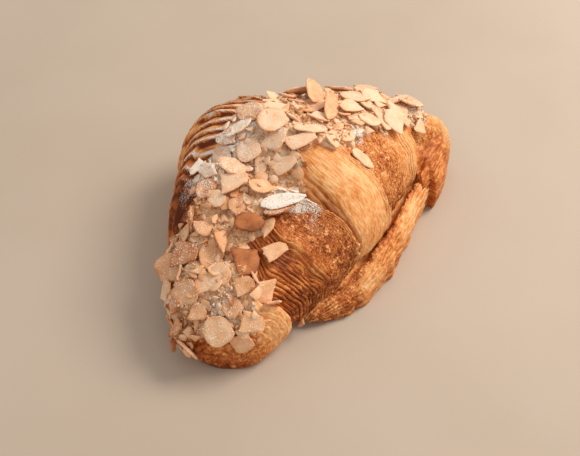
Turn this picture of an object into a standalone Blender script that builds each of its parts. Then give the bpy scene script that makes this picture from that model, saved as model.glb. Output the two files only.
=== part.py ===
"""An almond croissant: rolled, laminated dough in overlapping wraps, topped with flaked almonds.

The pastry is one crescent lying on its flat base.  +X runs along the crescent from the near tip to
the far tip, -Y is its hollow side, where the lower layer of dough stands out as a lip, and +Z is up.
The origin is on the ground below the middle of its bounding box.
"""

import bmesh
import bpy
import math
import numpy as np
import random
from mathutils import Matrix, Vector, noise

MM = 0.001

# The crescent: an arc that carries the cross-sections.  Along it, t is -1 near one tip and +1 near
# the other.  Around it, the angle phi is 0 on the hollow side, 90 on top and 180 on the outer side.
SPINE_LENGTH = 144 * MM
HALF_BEND = math.radians(36.4)
SPINE_RADIUS = SPINE_LENGTH / 2 / HALF_BEND
WIDEST_LEVEL = 0.42           # the widest level, as a share of the height
BASE_DEPTH = 1.15             # over 1, the underside is cut flat where it lies on the ground
SIDE_POWER, TOP_POWER, BASE_POWER = 0.92, 0.95, 0.6     # 1 is an ellipse in section, less is squarer
TIP_END = 1.16                # t where the tips close
TIP_ROUNDING_START = 0.78
TIP_ROUNDING_POWER = 3.5
TIP_CROWDING = 1.9            # how much the columns crowd towards the closed tips
SHARPEST_TIP = 4 * MM         # relief never leans more than on a tip this thick

# The cross-section along the crescent: (t, half width on the hollow side, half width on the outer
# side, height), in millimetres before the tips are rounded.
STATIONS = (
    (-1.10, 17.6, 21.6, 27.9),
    (-0.75, 29.9, 29.6, 41.1),
    (-0.40, 38.0, 41.8, 49.1),
    (0.00, 39.6, 56.6, 56.7),
    (0.40, 33.6, 38.3, 49.1),
    (0.75, 20.7, 23.8, 41.3),
    (1.10, 5.0, 6.6, 32.0),
)

# The edges of the wraps, as t at seven places around the roll.
EDGE_ANGLES = (-90, 0, 30, 60, 90, 135, 180)
WRAP_EDGES = (
    (-0.90, -0.92, -0.935, -0.970, -0.82, -0.82, -0.93),    # near tip to ribbed wall
    (-0.58, -0.61, -0.660, -0.635, -0.53, -0.60, -0.86),    # ribbed wall to near wrap
    (-0.27, -0.27, -0.285, -0.340, -0.41, -0.33, -0.78),    # near wrap to groove
    (-0.21, -0.225, -0.252, -0.215, -0.135, -0.22, -0.70),  # groove to middle wrap
    (0.34, 0.31, 0.240, 0.12, 0.03, 0.18, 0.42),            # middle wrap to far wrap
    (0.84, 0.84, 0.830, 0.81, 0.72, 0.80, 0.86),            # far wrap to far tip
)
NEAR_TIP, RIBBED_WALL, NEAR_WRAP, GROOVE, MIDDLE_WRAP, FAR_WRAP, FAR_TIP = range(7)

# The height of the crust across the wraps, in millimetres over the plain crescent: (place, height),
# where the whole part of place is the wrap and the rest is how far across it.
WRAP_PROFILE = (
    (0.00, 0.0), (0.30, 0.0), (0.55, 0.2), (0.80, 0.6), (0.93, -0.6),
    (1.00, -5.0), (1.14, -4.6), (1.24, -3.3), (1.36, -3.7), (1.48, -2.3), (1.60, -2.7),
    (1.72, -1.4), (1.84, -1.7), (1.95, 0.2),
    (2.00, 1.2), (2.08, 1.6), (2.35, 0.9), (2.70, 0.8), (2.94, 1.4),
    (3.00, 1.0), (3.10, -3.4), (3.30, -5.2), (3.45, -4.6), (3.75, -0.6),
    (4.00, 2.2), (4.20, 3.1), (4.50, 3.4), (4.80, 3.0), (4.97, 2.5),
    (5.00, -0.2), (5.12, 0.3), (5.35, 0.7), (5.62, 0.9), (5.86, 1.8), (5.94, 0.8),
    (6.00, -4.4), (6.08, -2.6), (6.20, -1.0), (6.40, -1.0), (6.55, 0.9), (6.75, 0.6), (7.00, 0.0),
)
GROOVE_ON_TOP = 0.45          # share of a groove's depth that is left below the topping
GROOVE_SIDE, GROOVE_SIDE_SPREAD = 45, 42    # degrees where the grooves are deepest
GROOVE_OUTER, GROOVE_OUTER_SPREAD, GROOVE_OUTER_SHARE = 165, 35, 0.5
UNDERSIDE_FADE = 0.9          # how much of the relief the flat underside loses

# The outer flank shows the cut edges of the dough as terraces.
TERRACES_PER_WRAP = 2.5
TERRACE_DROP = 1.5 * MM
TERRACE_LOW, TERRACE_HIGH = (112, 135), (195, 225)      # degrees: fades in, fades out
TERRACE_NEAR, TERRACE_FAR = (2.0, 2.3), (5.6, 5.9)      # places: fades in, fades out

# The lower layer of dough, which stands out along the hollow side and round the far tip.
LIP_START, LIP_END = -0.78, 1.10
LIP_NOTCH, LIP_NOTCH_WIDTH, LIP_NOTCH_DEPTH = 0.905, 0.025, 0.4
LIP_TIP_SWELL = 0.5           # how much further the lip stands out beyond the notch
LIP_OUTWARD = 12.6 * MM
LIP_UPWARD = 13.0 * MM
LIP_MIDDLE_HEIGHT = 6.5 * MM
LIP_INSET = 2.5 * MM
LIP_SQUARENESS = 0.75         # 1 is an ellipse in section, less is squarer
LIP_LOW_END = 0.55            # height of the lip at the near tip, as a share of its full height
LIP_RISE = (-0.70, 0.05)      # t over which it reaches its full height
LIP_END_POWER = 6             # how blunt its ends are
LIP_END_SHARE = 0.02          # how thick it still is where it ends
LIP_WAVE, LIP_WAVES = 0.10, 9
LIP_WAVE_SHIFT = 4            # picks the waves out of the noise
LIP_STEPS, LIP_SIDES = 36, 12

# Crags, from coarse to fine: (wavelength, height).
CRAGS = ((34 * MM, 1.3 * MM), (13 * MM, 0.8 * MM), (5.5 * MM, 0.35 * MM))

# The topping of almond cream and flaked almonds lies along the crest and spills over the near tip.
TOPPING_LOW, TOPPING_HIGH = 70, 127         # degrees
TOPPING_GAP = 12                            # how much narrower it is over the middle wrap
TOPPING_GAP_T, TOPPING_GAP_SPREAD = -0.11, 0.12
SPILL_LOW, SPILL_HIGH = 26, 58              # how much wider it is on the near tip
SPILL_LOW_FADE, SPILL_HIGH_FADE = (-1.09, -0.98), (-0.82, -0.52)    # t over which the spill ends
TOPPING_REACHES = ((0.03, 0.24, -15), (-0.42, 0.12, 22))    # t, spread, degrees more on the outer side
TOPPING_START, TOPPING_END = -1.12, 1.02
TOPPING_END_FADE = 0.10
TOPPING_BORDER = 5.5                        # degrees over which the cream thins out
CREAM_LUMP = 9 * MM
LUMP_SHIFT = Vector((7, 3, 1))              # picks the lumps out of the noise
CREAM_THICKNESS = 1.6 * MM
THINNEST_CREAM = 0.15                       # as a share of the thickness

# The flaked almonds.
SEED = 21
FLAKE_TRIES = 2600
FLAKE_SPACING = 5.6 * MM
SHORTEST_FLAKE, LONGEST_FLAKE = 7 * MM, 15 * MM
NARROWEST_FLAKE, WIDEST_FLAKE = 0.58, 0.90  # width as a share of length
FLAKE_THICKNESS = 1.1 * MM
FLAKE_SIDES = 8
FLAKE_CURL = 0.10
FLAKE_TAPER = 0.28            # how much broader one end is than the other
FLAKE_TILT = (2, 55, 14)      # least, most and usual tilt of a flake, in degrees
FUSED_FLAKES = 79
FLAKE_RAISE = 0.5 * MM        # how far the lowest edge of a flake stays above the cream
FLAKE_FOOT = 2.0 * MM         # how deep the cream below a flake's middle reaches into the crust
LONGEST_FOOT = 4.8 * MM
STACK_REACH = 0.6             # flakes nearer than this share of the length lie below it
STACK_STEP, STACK_LIMIT = 0.9 * MM, 2

# Flakes that lead the eye: (t, phi, length, width, turn, tilt) in degrees and millimetres.
LEADING_FLAKES = (
    (-0.23, 87, 15, 8, 140, 10),        # long pale one at the edge of the middle wrap
    (-0.42, 90, 11, 9, 122, 8),         # round golden one
    (-0.42, 75, 18, 6, 126, 20),        # sugared one
    (-0.48, 74, 13, 6, 134, 35),        # curled one below it
    (-0.62, 88, 12, 9, 105, 10),        # browned pair
    (-0.61, 78, 11, 7, 153, 22),
    (-0.84, 86, 12, 12, 110, 14),       # browned square one
    (-0.72, 66, 12, 7, 140, 12),        # shard over the ribbed wall
    (-0.90, 61, 11, 9, 17, 14),         # pale one beside it, with one on edge below
    (-1.00, 53, 12, 6, 121, 62),
    (-0.95, 82, 10, 8, 116, 16),
    (-0.77, 136, 18, 11, 76, 14),       # big one on the outer side, with its neighbours
    (-0.79, 113, 13, 9, 0, 24),
    (-0.61, 129, 11, 7, 171, 65),
    (-0.65, 118, 12, 9, 19, 26),
    (-0.70, 103, 18, 6, 12, 50),
    (-0.53, 98, 12, 8, 29, 16),
    (-0.48, 120, 10, 10, 105, 10),
    (-0.26, 118, 11, 9, 88, 10),        # row of round ones
    (-0.22, 103, 12, 11, 104, 14),
    (-0.06, 99, 14, 13, 129, 10),       # stack over the middle wrap
    (-0.10, 85, 17, 8, 143, 16),
    (0.00, 84, 14, 9, 130, 12),
    (0.04, 72, 8, 6, 76, 20),
    (0.15, 91, 11, 10, 110, 14),
    (-1.03, 90, 9, 8, 101, 10),         # heap on the near tip
    (-1.08, 67, 12, 9, 89, 10),
    (-1.11, 106, 13, 12, 83, 10),
    (-1.14, 77, 12, 9, 119, 12),
    (-1.04, 124, 9, 8, 62, 20),
    (-1.04, 165, 12, 9, 66, 25),
    (-1.05, 185, 12, 7, 75, 40),
    (0.30, 106, 17, 10, 53, 50),        # heap standing on the far wrap
    (0.26, 91, 16, 9, 37, 48),
    (0.50, 118, 15, 10, 104, 14),
    (0.40, 90, 15, 8, 9, 14),
    (0.46, 77, 12, 9, 177, 10),
    (0.17, 73, 10, 6, 121, 14),         # strays beside the middle wrap
    (0.18, 54, 12, 8, 119, 16),
    (0.66, 86, 14, 9, 162, 12),         # last ones towards the far tip
    (0.85, 73, 13, 7, 115, 22),
)

# How finely the pastry is meshed.
ROWS_AROUND = 50
COLUMN_STEPS = (0.2, 0.2, 0.2, 0.2, 0.1, 0.15, 0.2)     # widest gap between two columns of each wrap
CROWDED_ROWS = 0.25           # how much closer the rows lie on top than below
FRAME_STEP = 0.02             # gap in t and phi over which the crust's slope is measured
WELD = 1e-6

CRUST_COLOUR = (0.60, 0.27, 0.09, 1.0)
CRUST_ROUGHNESS = 0.55
SHARP_EDGE = math.radians(35)


def smooth(low, high, value):
    """0 below low, 1 above high and a soft slope between."""
    share = np.clip((value - low) / (high - low), 0.0, 1.0)
    return share * share * (3 - 2 * share)


def closed_curve(angles, values, phi):
    """A smooth closed curve through values at the given degrees, read at phi in radians."""
    turn = np.mod(np.degrees(phi) - angles[0], 360.0)
    knots = [angle - angles[0] for angle in angles] + [360.0]
    ring = list(values) + [values[0]]
    result = np.full(np.shape(turn), float(values[0]))
    for i in range(len(angles)):
        inside = (turn >= knots[i]) & (turn <= knots[i + 1])
        share = smooth(knots[i], knots[i + 1], turn)
        result = np.where(inside, ring[i] + (ring[i + 1] - ring[i]) * share, result)
    return result


def wrap_borders(phi):
    """The t of every border between wraps at phi, with both closed ends."""
    shape = np.shape(phi)
    edges = [closed_curve(EDGE_ANGLES, values, phi) for values in WRAP_EDGES]
    return [np.full(shape, -TIP_END)] + edges + [np.full(shape, TIP_END)]


def place_to_t(place, phi):
    """t of a place across the wraps."""
    borders = wrap_borders(phi)
    wrap = np.clip(np.floor(place), NEAR_TIP, FAR_TIP).astype(int)
    share = place - wrap
    share = np.where(wrap == NEAR_TIP, share ** TIP_CROWDING, share)
    share = np.where(wrap == FAR_TIP, 1 - (1 - share) ** TIP_CROWDING, share)
    left = np.choose(wrap, borders[:-1])
    right = np.choose(wrap, borders[1:])
    return left + (right - left) * share


def t_to_place(t, phi):
    """The place across the wraps where one t lies at one phi."""
    t = min(max(t, -TIP_END), TIP_END)
    borders = [float(border) for border in wrap_borders(np.float64(phi))]
    wrap = max(i for i in range(FAR_TIP + 1) if t >= borders[i] or i == 0)
    share = (t - borders[wrap]) / (borders[wrap + 1] - borders[wrap])
    if wrap == NEAR_TIP:
        share = share ** (1 / TIP_CROWDING)
    if wrap == FAR_TIP:
        share = 1 - (1 - share) ** (1 / TIP_CROWDING)
    return wrap + share


def spine(t):
    """The arc's point on the ground and its outward direction, as arrays."""
    angle = HALF_BEND * t
    x = SPINE_RADIUS * np.sin(angle)
    y = SPINE_RADIUS * (np.cos(angle) - math.cos(HALF_BEND))
    return x, y, np.sin(angle), np.cos(angle)


def station_values(t):
    """Half width on either side and height at t, on smooth curves through the stations."""
    knots, *columns_of_values = zip(*STATIONS)
    knots = np.array(knots)
    i = np.clip(np.searchsorted(knots, t, side="right") - 1, 0, len(knots) - 2)
    gap = knots[i + 1] - knots[i]
    share = np.clip((t - knots[i]) / gap, 0, 1)
    result = []
    for values in columns_of_values:
        values = np.array(values) * MM
        slope = np.gradient(values, knots)
        left, right = values[i], values[i + 1]
        bend_left = share * (1 - share) ** 2 * gap * slope[i]
        bend_right = share ** 2 * (share - 1) * gap * slope[i + 1]
        result.append(left + (right - left) * share * share * (3 - 2 * share) + bend_left + bend_right)
    return result


def half_sizes(t):
    """Half width on the hollow side, on the outer side, and height of the plain crescent at t."""
    share = np.clip((np.abs(t) - TIP_ROUNDING_START) / (TIP_END - TIP_ROUNDING_START), 0, 1)
    rounding = np.maximum(1 - share ** TIP_ROUNDING_POWER, 0) ** (1 / TIP_ROUNDING_POWER)
    return [value * rounding for value in station_values(t)]


def section(t, phi):
    """Sideways offset and height of the plain crescent's skin, before any relief."""
    inner, outer, height = half_sizes(t)
    level = WIDEST_LEVEL * height
    across, upward = np.cos(phi), np.sin(phi)
    width = np.where(across > 0, inner, outer)
    offset = width * np.sign(across) * np.abs(across) ** SIDE_POWER
    above = level + (height - level) * np.abs(upward) ** TOP_POWER
    below = level - BASE_DEPTH * level * np.abs(upward) ** BASE_POWER
    return offset, np.where(upward >= 0, above, below)


def topping_limits(t):
    """The angles in degrees between which the topping lies at t."""
    gap = TOPPING_GAP * np.exp(-((t - TOPPING_GAP_T) / TOPPING_GAP_SPREAD) ** 2)
    low = TOPPING_LOW + gap - SPILL_LOW * (1 - smooth(*SPILL_LOW_FADE, t))
    high = TOPPING_HIGH + SPILL_HIGH * (1 - smooth(*SPILL_HIGH_FADE, t))
    for middle, spread, reach in TOPPING_REACHES:
        high = high + reach * np.exp(-((t - middle) / spread) ** 2)
    return low, high


def topping_amount(t, phi):
    """1 inside the topping and 0 outside, with a soft border."""
    low, high = topping_limits(t)
    degrees = np.degrees(phi)
    rises = smooth(low - TOPPING_BORDER, low + TOPPING_BORDER, degrees)
    falls = 1 - smooth(high - TOPPING_BORDER, high + TOPPING_BORDER, degrees)
    return rises * falls * (1 - smooth(TOPPING_END, TOPPING_END + TOPPING_END_FADE, t))


def wrap_relief(place, phi):
    """Height of the wraps over the plain crescent: swells, grooves and terraces."""
    places, heights = zip(*WRAP_PROFILE)
    relief = np.interp(place, places, heights) * MM
    degrees = np.degrees(phi)
    side = np.exp(-((degrees - GROOVE_SIDE) / GROOVE_SIDE_SPREAD) ** 2)
    outer = GROOVE_OUTER_SHARE * np.exp(-((degrees - GROOVE_OUTER) / GROOVE_OUTER_SPREAD) ** 2)
    depth = GROOVE_ON_TOP + (1 - GROOVE_ON_TOP) * np.clip(side + outer, 0, 1)
    relief = np.where(relief < 0, relief * depth, relief)
    flank = smooth(*TERRACE_LOW, degrees) * (1 - smooth(*TERRACE_HIGH, degrees))
    flank = flank * smooth(*TERRACE_NEAR, place) * (1 - smooth(*TERRACE_FAR, place))
    return relief - TERRACE_DROP * np.mod((place - NEAR_WRAP) * TERRACES_PER_WRAP, 1.0) * flank


def roughness(points):
    """Uneven height of the crust and lumpiness of the topping at an array of points."""
    rough = np.empty(points.shape[:-1])
    lumps = np.empty(points.shape[:-1])
    for index in np.ndindex(rough.shape):
        point = Vector(points[index])
        rough[index] = sum(height * noise.noise(point / length) for length, height in CRAGS)
        lumps[index] = 0.5 + noise.noise(point / CREAM_LUMP + LUMP_SHIFT)
    return rough, np.maximum(lumps, THINNEST_CREAM)


def crust(place, phi):
    """Points of the finished crust for arrays of place and phi."""
    t = place_to_t(place, phi)
    offset, height = section(t, phi)
    x, y, out_x, out_y = spine(t)
    _, outer, full = half_sizes(t)
    across = np.cos(phi) / np.maximum(outer, SHARPEST_TIP)
    upward = np.sin(phi) / np.maximum(full / 2, SHARPEST_TIP)
    length = np.hypot(across, upward)
    rough, lumps = roughness(np.stack([x - out_x * offset, y - out_y * offset, height], -1))
    relief = wrap_relief(place, phi) + rough + topping_amount(t, phi) * CREAM_THICKNESS * lumps
    relief = relief * (1 - UNDERSIDE_FADE * np.clip(-np.sin(phi), 0, 1))
    offset = offset + across / length * relief
    height = height + upward / length * relief
    return np.stack([x - out_x * offset, y - out_y * offset, np.maximum(height, 0.0)], -1)


def columns():
    """The places across the wraps where the mesh has columns, without the two poles."""
    places = [place for place, _ in WRAP_PROFILE]
    result = []
    for left, right in zip(places, places[1:]):
        steps = math.ceil((right - left) / COLUMN_STEPS[int(left)] - WELD)
        result += [left + (right - left) * (i + 1) / steps for i in range(steps)]
    return np.array(result[:-1])


def rows():
    """The angles around the roll where the mesh has rows, closer together on top."""
    turn = np.arange(ROWS_AROUND) / ROWS_AROUND * 2 * math.pi
    return turn - math.pi / 2 + CROWDED_ROWS * np.sin(turn)


def bridge(bm, left, right):
    """Joins two closed rings of vertices by a band of faces."""
    for j, k in zip(range(len(left)), list(range(1, len(left))) + [0]):
        bm.faces.new((left[j], left[k], right[k], right[j]))


def mesh_of(bm, name):
    """A mesh made from bm, triangles only, with its faces turned outwards."""
    bmesh.ops.remove_doubles(bm, verts=bm.verts, dist=WELD)
    bmesh.ops.recalc_face_normals(bm, faces=bm.faces)
    bmesh.ops.triangulate(bm, faces=bm.faces)
    mesh = bpy.data.meshes.new(name)
    bm.to_mesh(mesh)
    bm.free()
    return mesh


def pastry_mesh():
    """The rolled crescent: rings of points with a pole at each tip."""
    grid = crust(*np.meshgrid(columns(), rows(), indexing="ij"))
    bm = bmesh.new()
    rings = [[bm.verts.new(point) for point in ring] for ring in grid]
    for left, right in zip(rings, rings[1:]):
        bridge(bm, left, right)
    for ring, end in ((rings[0], -TIP_END), (rings[-1], TIP_END)):
        x, y, _, _ = spine(end)
        pole = bm.verts.new((x, y, np.mean([vert.co.z for vert in ring])))
        for j in range(len(ring)):
            bm.faces.new((ring[j - 1], ring[j], pole))
    return mesh_of(bm, "pastry")


def lip_ring(t):
    """The cross-section of the lip at t, as points."""
    share = (t - LIP_START) / (LIP_END - LIP_START)
    swell = math.sqrt(max(0.0, 1 - (2 * share - 1) ** LIP_END_POWER)) + LIP_END_SHARE
    notch = 1 - LIP_NOTCH_DEPTH * math.exp(-((t - LIP_NOTCH) / LIP_NOTCH_WIDTH) ** 2)
    notch += LIP_TIP_SWELL * float(smooth(LIP_NOTCH, LIP_NOTCH + 2 * LIP_NOTCH_WIDTH, t))
    rise = LIP_LOW_END + (1 - LIP_LOW_END) * float(smooth(*LIP_RISE, t))
    foot = float(half_sizes(np.float64(t))[0]) - LIP_INSET
    x, y, out_x, out_y = spine(t)
    ring = []
    for i in range(LIP_SIDES):
        angle = 2 * math.pi * i / LIP_SIDES
        across, upward = math.cos(angle), math.sin(angle)
        spot = Vector((t * LIP_WAVES, across, upward + LIP_WAVE_SHIFT))
        wave = swell * (1 + LIP_WAVE * noise.noise(spot))
        across = math.copysign(abs(across) ** LIP_SQUARENESS, across)
        upward = math.copysign(abs(upward) ** LIP_SQUARENESS, upward)
        offset = foot + LIP_OUTWARD * notch * wave * across
        height = rise * (LIP_MIDDLE_HEIGHT + LIP_UPWARD * wave * upward)
        ring.append((x - out_x * offset, y - out_y * offset, max(height, 0.0)))
    return ring


def lip_mesh():
    """The lower layer of dough, swept along the foot of the hollow side."""
    bm = bmesh.new()
    rings = []
    for i in range(LIP_STEPS + 1):
        share = 0.5 - 0.5 * math.cos(math.pi * i / LIP_STEPS)
        ring = lip_ring(LIP_START + (LIP_END - LIP_START) * share)
        rings.append([bm.verts.new(point) for point in ring])
    for left, right in zip(rings, rings[1:]):
        bridge(bm, left, right)
    bm.faces.new(rings[0])
    bm.faces.new(rings[-1])
    return mesh_of(bm, "lip")


def surface_frame(t, phi):
    """Point, outward normal and direction along the crescent at one t and phi of the crust."""
    step = FRAME_STEP
    places = np.array([t_to_place(t + shift, phi) for shift in (-step, step, 0, 0, 0)])
    angles = phi + np.array([0, 0, -2 * step, 2 * step, 0])
    before, after, lower, upper, point = (Vector(p) for p in crust(places, angles))
    along = (after - before).normalized()
    return point, (lower - upper).cross(along).normalized(), along


def leading_flakes():
    """The leading flakes in metres and radians."""
    return [(t, math.radians(phi), length * MM, width * MM, math.radians(turn), math.radians(tilt))
            for t, phi, length, width, turn, tilt in LEADING_FLAKES]


def scattered_flake(chance):
    """One flake drawn at random, which may miss the topping."""
    t = chance.uniform(TOPPING_START, TOPPING_END)
    phi = math.radians(chance.uniform(TOPPING_LOW - SPILL_LOW, TOPPING_HIGH + SPILL_HIGH))
    length = SHORTEST_FLAKE + (LONGEST_FLAKE - SHORTEST_FLAKE) * chance.random()
    width = length * chance.uniform(NARROWEST_FLAKE, WIDEST_FLAKE)
    turn = chance.uniform(0, 2 * math.pi)
    return t, phi, length, width, turn, math.radians(chance.triangular(*FLAKE_TILT))


def flake_choice():
    """Every flake as (t, phi, length, width, turn, tilt): the leading ones, then by size."""
    chance = random.Random(SEED)
    leading = leading_flakes()
    scattered = []
    taken = [surface_frame(flake[0], flake[1])[0] for flake in leading]
    for _ in range(FLAKE_TRIES):
        flake = scattered_flake(chance)
        low, high = topping_limits(np.float64(flake[0]))
        if not low < math.degrees(flake[1]) < high:
            continue
        point = surface_frame(flake[0], flake[1])[0]
        if min((point - other).length for other in taken) > FLAKE_SPACING:
            taken.append(point)
            scattered.append(flake)
    return leading + sorted(scattered, key=lambda flake: -flake[2])


def flake_places():
    """Every flake as (place, length, width, lift), where the matrix place puts it on the pile."""
    placed, below = [], []
    for t, phi, length, width, turn, tilt in flake_choice():
        point, normal, along = surface_frame(t, phi)
        stack = sum((point - other).length < STACK_REACH * length for other in below)
        lift = width / 2 * math.sin(tilt) + FLAKE_THICKNESS / 2 + FLAKE_RAISE
        lift += STACK_STEP * min(stack, STACK_LIMIT)
        below.append(point)
        place = Matrix((along, normal.cross(along).normalized(), normal)).transposed().to_4x4()
        place.translation = point + normal * lift
        place = place @ Matrix.Rotation(turn, 4, "Z") @ Matrix.Rotation(tilt, 4, "X")
        placed.append((place, length, width, lift))
    return placed


def flake_mesh(place, length, width, lift):
    """A curled, thin slice of almond, broader at one end, with the cream that holds it below."""
    halves = (FLAKE_THICKNESS / 2, -FLAKE_THICKNESS / 2)
    middles = (halves[0], -min(lift + FLAKE_FOOT, LONGEST_FOOT))
    bm = bmesh.new()
    rims = [[], []]
    for i in range(FLAKE_SIDES):
        angle = 2 * math.pi * i / FLAKE_SIDES
        x = length / 2 * math.cos(angle)
        y = width / 2 * math.sin(angle) * (1 + FLAKE_TAPER * math.cos(angle))
        bend = FLAKE_CURL * (x * x / length + y * y / width)
        for rim, half in zip(rims, halves):
            rim.append(bm.verts.new(place @ Vector((x, y, bend + half))))
    bridge(bm, *rims)
    for rim, middle in zip(rims, middles):
        centre = bm.verts.new(place @ Vector((0, 0, middle)))
        for j in range(FLAKE_SIDES):
            bm.faces.new((rim[j - 1], rim[j], centre))
    return mesh_of(bm, "flake")


def crust_material():
    """Plain baked crust."""
    material = bpy.data.materials.new("croissant crust")
    material.use_nodes = True
    shader = material.node_tree.nodes["Principled BSDF"]
    shader.inputs["Base Color"].default_value = CRUST_COLOUR
    shader.inputs["Roughness"].default_value = CRUST_ROUGHNESS
    shader.inputs["Metallic"].default_value = 0.0
    return material


def add_object(name, mesh, collection):
    """An object with mesh, put in collection."""
    thing = bpy.data.objects.new(name, mesh)
    collection.objects.link(thing)
    return thing


def fuse(body, pieces):
    """Joins body and every object of the collection pieces by one union, then removes them."""
    union = body.modifiers.new("fused topping", "BOOLEAN")
    union.operation = "UNION"
    union.solver = "EXACT"
    union.operand_type = "COLLECTION"
    union.collection = pieces
    graph = bpy.context.evaluated_depsgraph_get()
    fused = bpy.data.meshes.new_from_object(body.evaluated_get(graph))
    body.modifiers.clear()
    body.data = fused
    for piece in list(pieces.objects):
        bpy.data.objects.remove(piece, do_unlink=True)
    bpy.data.collections.remove(pieces)


def connected(start, seen):
    """The vertices connected to start, which are added to seen."""
    shell, waiting = [], [start]
    seen.add(start)
    while waiting:
        vert = waiting.pop()
        shell.append(vert)
        for edge in vert.link_edges:
            other = edge.other_vert(vert)
            if other not in seen:
                seen.add(other)
                waiting.append(other)
    return shell


def keep_largest_shell(mesh):
    """Drops loose scraps and fills sealed hollows: only the largest shell stays."""
    bm = bmesh.new()
    bm.from_mesh(mesh)
    bmesh.ops.remove_doubles(bm, verts=bm.verts, dist=WELD)
    seen = set()
    shells = [connected(vert, seen) for vert in bm.verts if vert not in seen]
    shells.sort(key=len)
    scrap = [vert for shell in shells[:-1] for vert in shell]
    bmesh.ops.delete(bm, geom=scrap, context="VERTS")
    bm.to_mesh(mesh)
    bm.free()


def centre_on_ground(mesh):
    """Moves the mesh so that the middle of its bounding box is above the origin."""
    points = np.array([vert.co for vert in mesh.vertices])
    low, high = points.min(0), points.max(0)
    mesh.transform(Matrix.Translation((-(low[0] + high[0]) / 2, -(low[1] + high[1]) / 2, -low[2])))


def build():
    """Makes the croissant."""
    for thing in list(bpy.data.objects):
        bpy.data.objects.remove(thing, do_unlink=True)
    scene = bpy.context.scene.collection
    croissant = add_object("croissant", pastry_mesh(), scene)
    pieces = bpy.data.collections.new("pieces")
    scene.children.link(pieces)
    add_object("lip", lip_mesh(), pieces)
    for number, flake in enumerate(flake_places()[:FUSED_FLAKES]):
        add_object(f"flake_{number:02d}", flake_mesh(*flake), pieces)
    fuse(croissant, pieces)
    keep_largest_shell(croissant.data)
    centre_on_ground(croissant.data)
    croissant.data.materials.clear()
    croissant.data.materials.append(crust_material())
    croissant.data.shade_smooth()
    croissant.data.set_sharp_from_angle(angle=SHARP_EDGE)


build()
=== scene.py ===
# %% [markdown]
# # An almond croissant
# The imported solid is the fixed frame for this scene: its box says where the pastry starts and ends.
# The visible croissant is built finer than that solid, from the same rule, and stands for it.
# Its box is kept first of all, because nothing made here may reach outside it.

import math
import random

import bmesh
import bpy
import numpy as np
from mathutils import Matrix, Vector, noise


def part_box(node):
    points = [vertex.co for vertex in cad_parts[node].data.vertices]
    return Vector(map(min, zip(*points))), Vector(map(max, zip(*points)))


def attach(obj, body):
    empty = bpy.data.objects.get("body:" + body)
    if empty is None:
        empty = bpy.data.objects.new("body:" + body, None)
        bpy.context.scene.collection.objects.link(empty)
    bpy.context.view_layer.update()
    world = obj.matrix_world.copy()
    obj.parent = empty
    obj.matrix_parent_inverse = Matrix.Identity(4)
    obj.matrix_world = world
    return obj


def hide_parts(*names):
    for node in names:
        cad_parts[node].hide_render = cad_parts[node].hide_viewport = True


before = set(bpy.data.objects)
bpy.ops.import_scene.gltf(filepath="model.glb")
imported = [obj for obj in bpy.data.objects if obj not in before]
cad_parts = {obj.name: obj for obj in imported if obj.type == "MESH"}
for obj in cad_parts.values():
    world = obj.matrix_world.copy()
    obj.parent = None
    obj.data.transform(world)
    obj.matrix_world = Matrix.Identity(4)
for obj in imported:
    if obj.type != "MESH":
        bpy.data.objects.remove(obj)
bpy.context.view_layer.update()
LOW, HIGH = (np.array(corner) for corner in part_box("croissant"))
MM = 0.001
print("solid's box in mm:", np.round(LOW / MM, 1), np.round(HIGH / MM, 1))

# %% [markdown]
# ## The rolled crescent
# A croissant is a triangle of laminated dough, rolled up and bent.  It could be sculpted by hand, but
# it follows a rule: cross-sections on an arc, with a relief for every wrap of the roll.  Along the
# arc, t runs from -1 to +1.  Around it, the angle phi is 0 on the hollow side, 90 on top and 180 on
# the outer side.  Written as functions, the rule can be read at any fineness.

# %% The measurements of the crescent
SPINE_LENGTH, HALF_BEND = 144 * MM, math.radians(36.4)
SPINE_RADIUS = SPINE_LENGTH / 2 / HALF_BEND
WIDEST_LEVEL, BASE_DEPTH = 0.42, 1.15
SIDE_POWER, TOP_POWER, BASE_POWER = 0.92, 0.95, 0.6
TIP_END, TIP_ROUNDING_START, TIP_ROUNDING_POWER, TIP_CROWDING = 1.16, 0.78, 3.5, 1.9
SHARPEST_TIP = 4 * MM
TO_MODEL = np.array((5.982, -26.571, 0.0)) * MM     # from the arc's own place to the model's

STATIONS = (    # t, half width on the hollow side and on the outer side, height, in millimetres
    (-1.10, 17.6, 21.6, 27.9), (-0.75, 29.9, 29.6, 41.1), (-0.40, 38.0, 41.8, 49.1),
    (0.00, 39.6, 56.6, 56.7), (0.40, 33.6, 38.3, 49.1), (0.75, 20.7, 23.8, 41.3), (1.10, 5.0, 6.6, 32.0),
)
EDGE_ANGLES = (-90, 0, 30, 60, 90, 135, 180)
WRAP_EDGES = (
    (-0.90, -0.92, -0.935, -0.970, -0.82, -0.82, -0.93),    # near tip to ribbed wall
    (-0.58, -0.61, -0.660, -0.635, -0.53, -0.60, -0.86),    # ribbed wall to near wrap
    (-0.27, -0.27, -0.285, -0.340, -0.41, -0.33, -0.78),    # near wrap to groove
    (-0.21, -0.225, -0.252, -0.215, -0.135, -0.22, -0.70),  # groove to middle wrap
    (0.34, 0.31, 0.240, 0.12, 0.03, 0.18, 0.42),            # middle wrap to far wrap
    (0.84, 0.84, 0.830, 0.81, 0.72, 0.80, 0.86),            # far wrap to far tip
)
NEAR_TIP, NEAR_WRAP, FAR_TIP = 0, 2, 6                      # the wraps are counted from the near tip
WRAP_WIDTHS = np.array((22, 24, 34, 10, 30, 46, 22)) * MM   # usual width of every wrap


def smooth(low, high, value):
    """0 below low, 1 above high and a soft slope between."""
    share = np.clip((value - low) / (high - low), 0.0, 1.0)
    return share * share * (3 - 2 * share)


def bump(middle, spread, value):
    """1 in the middle and soft to either side."""
    return np.exp(-((value - middle) / spread) ** 2)


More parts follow.
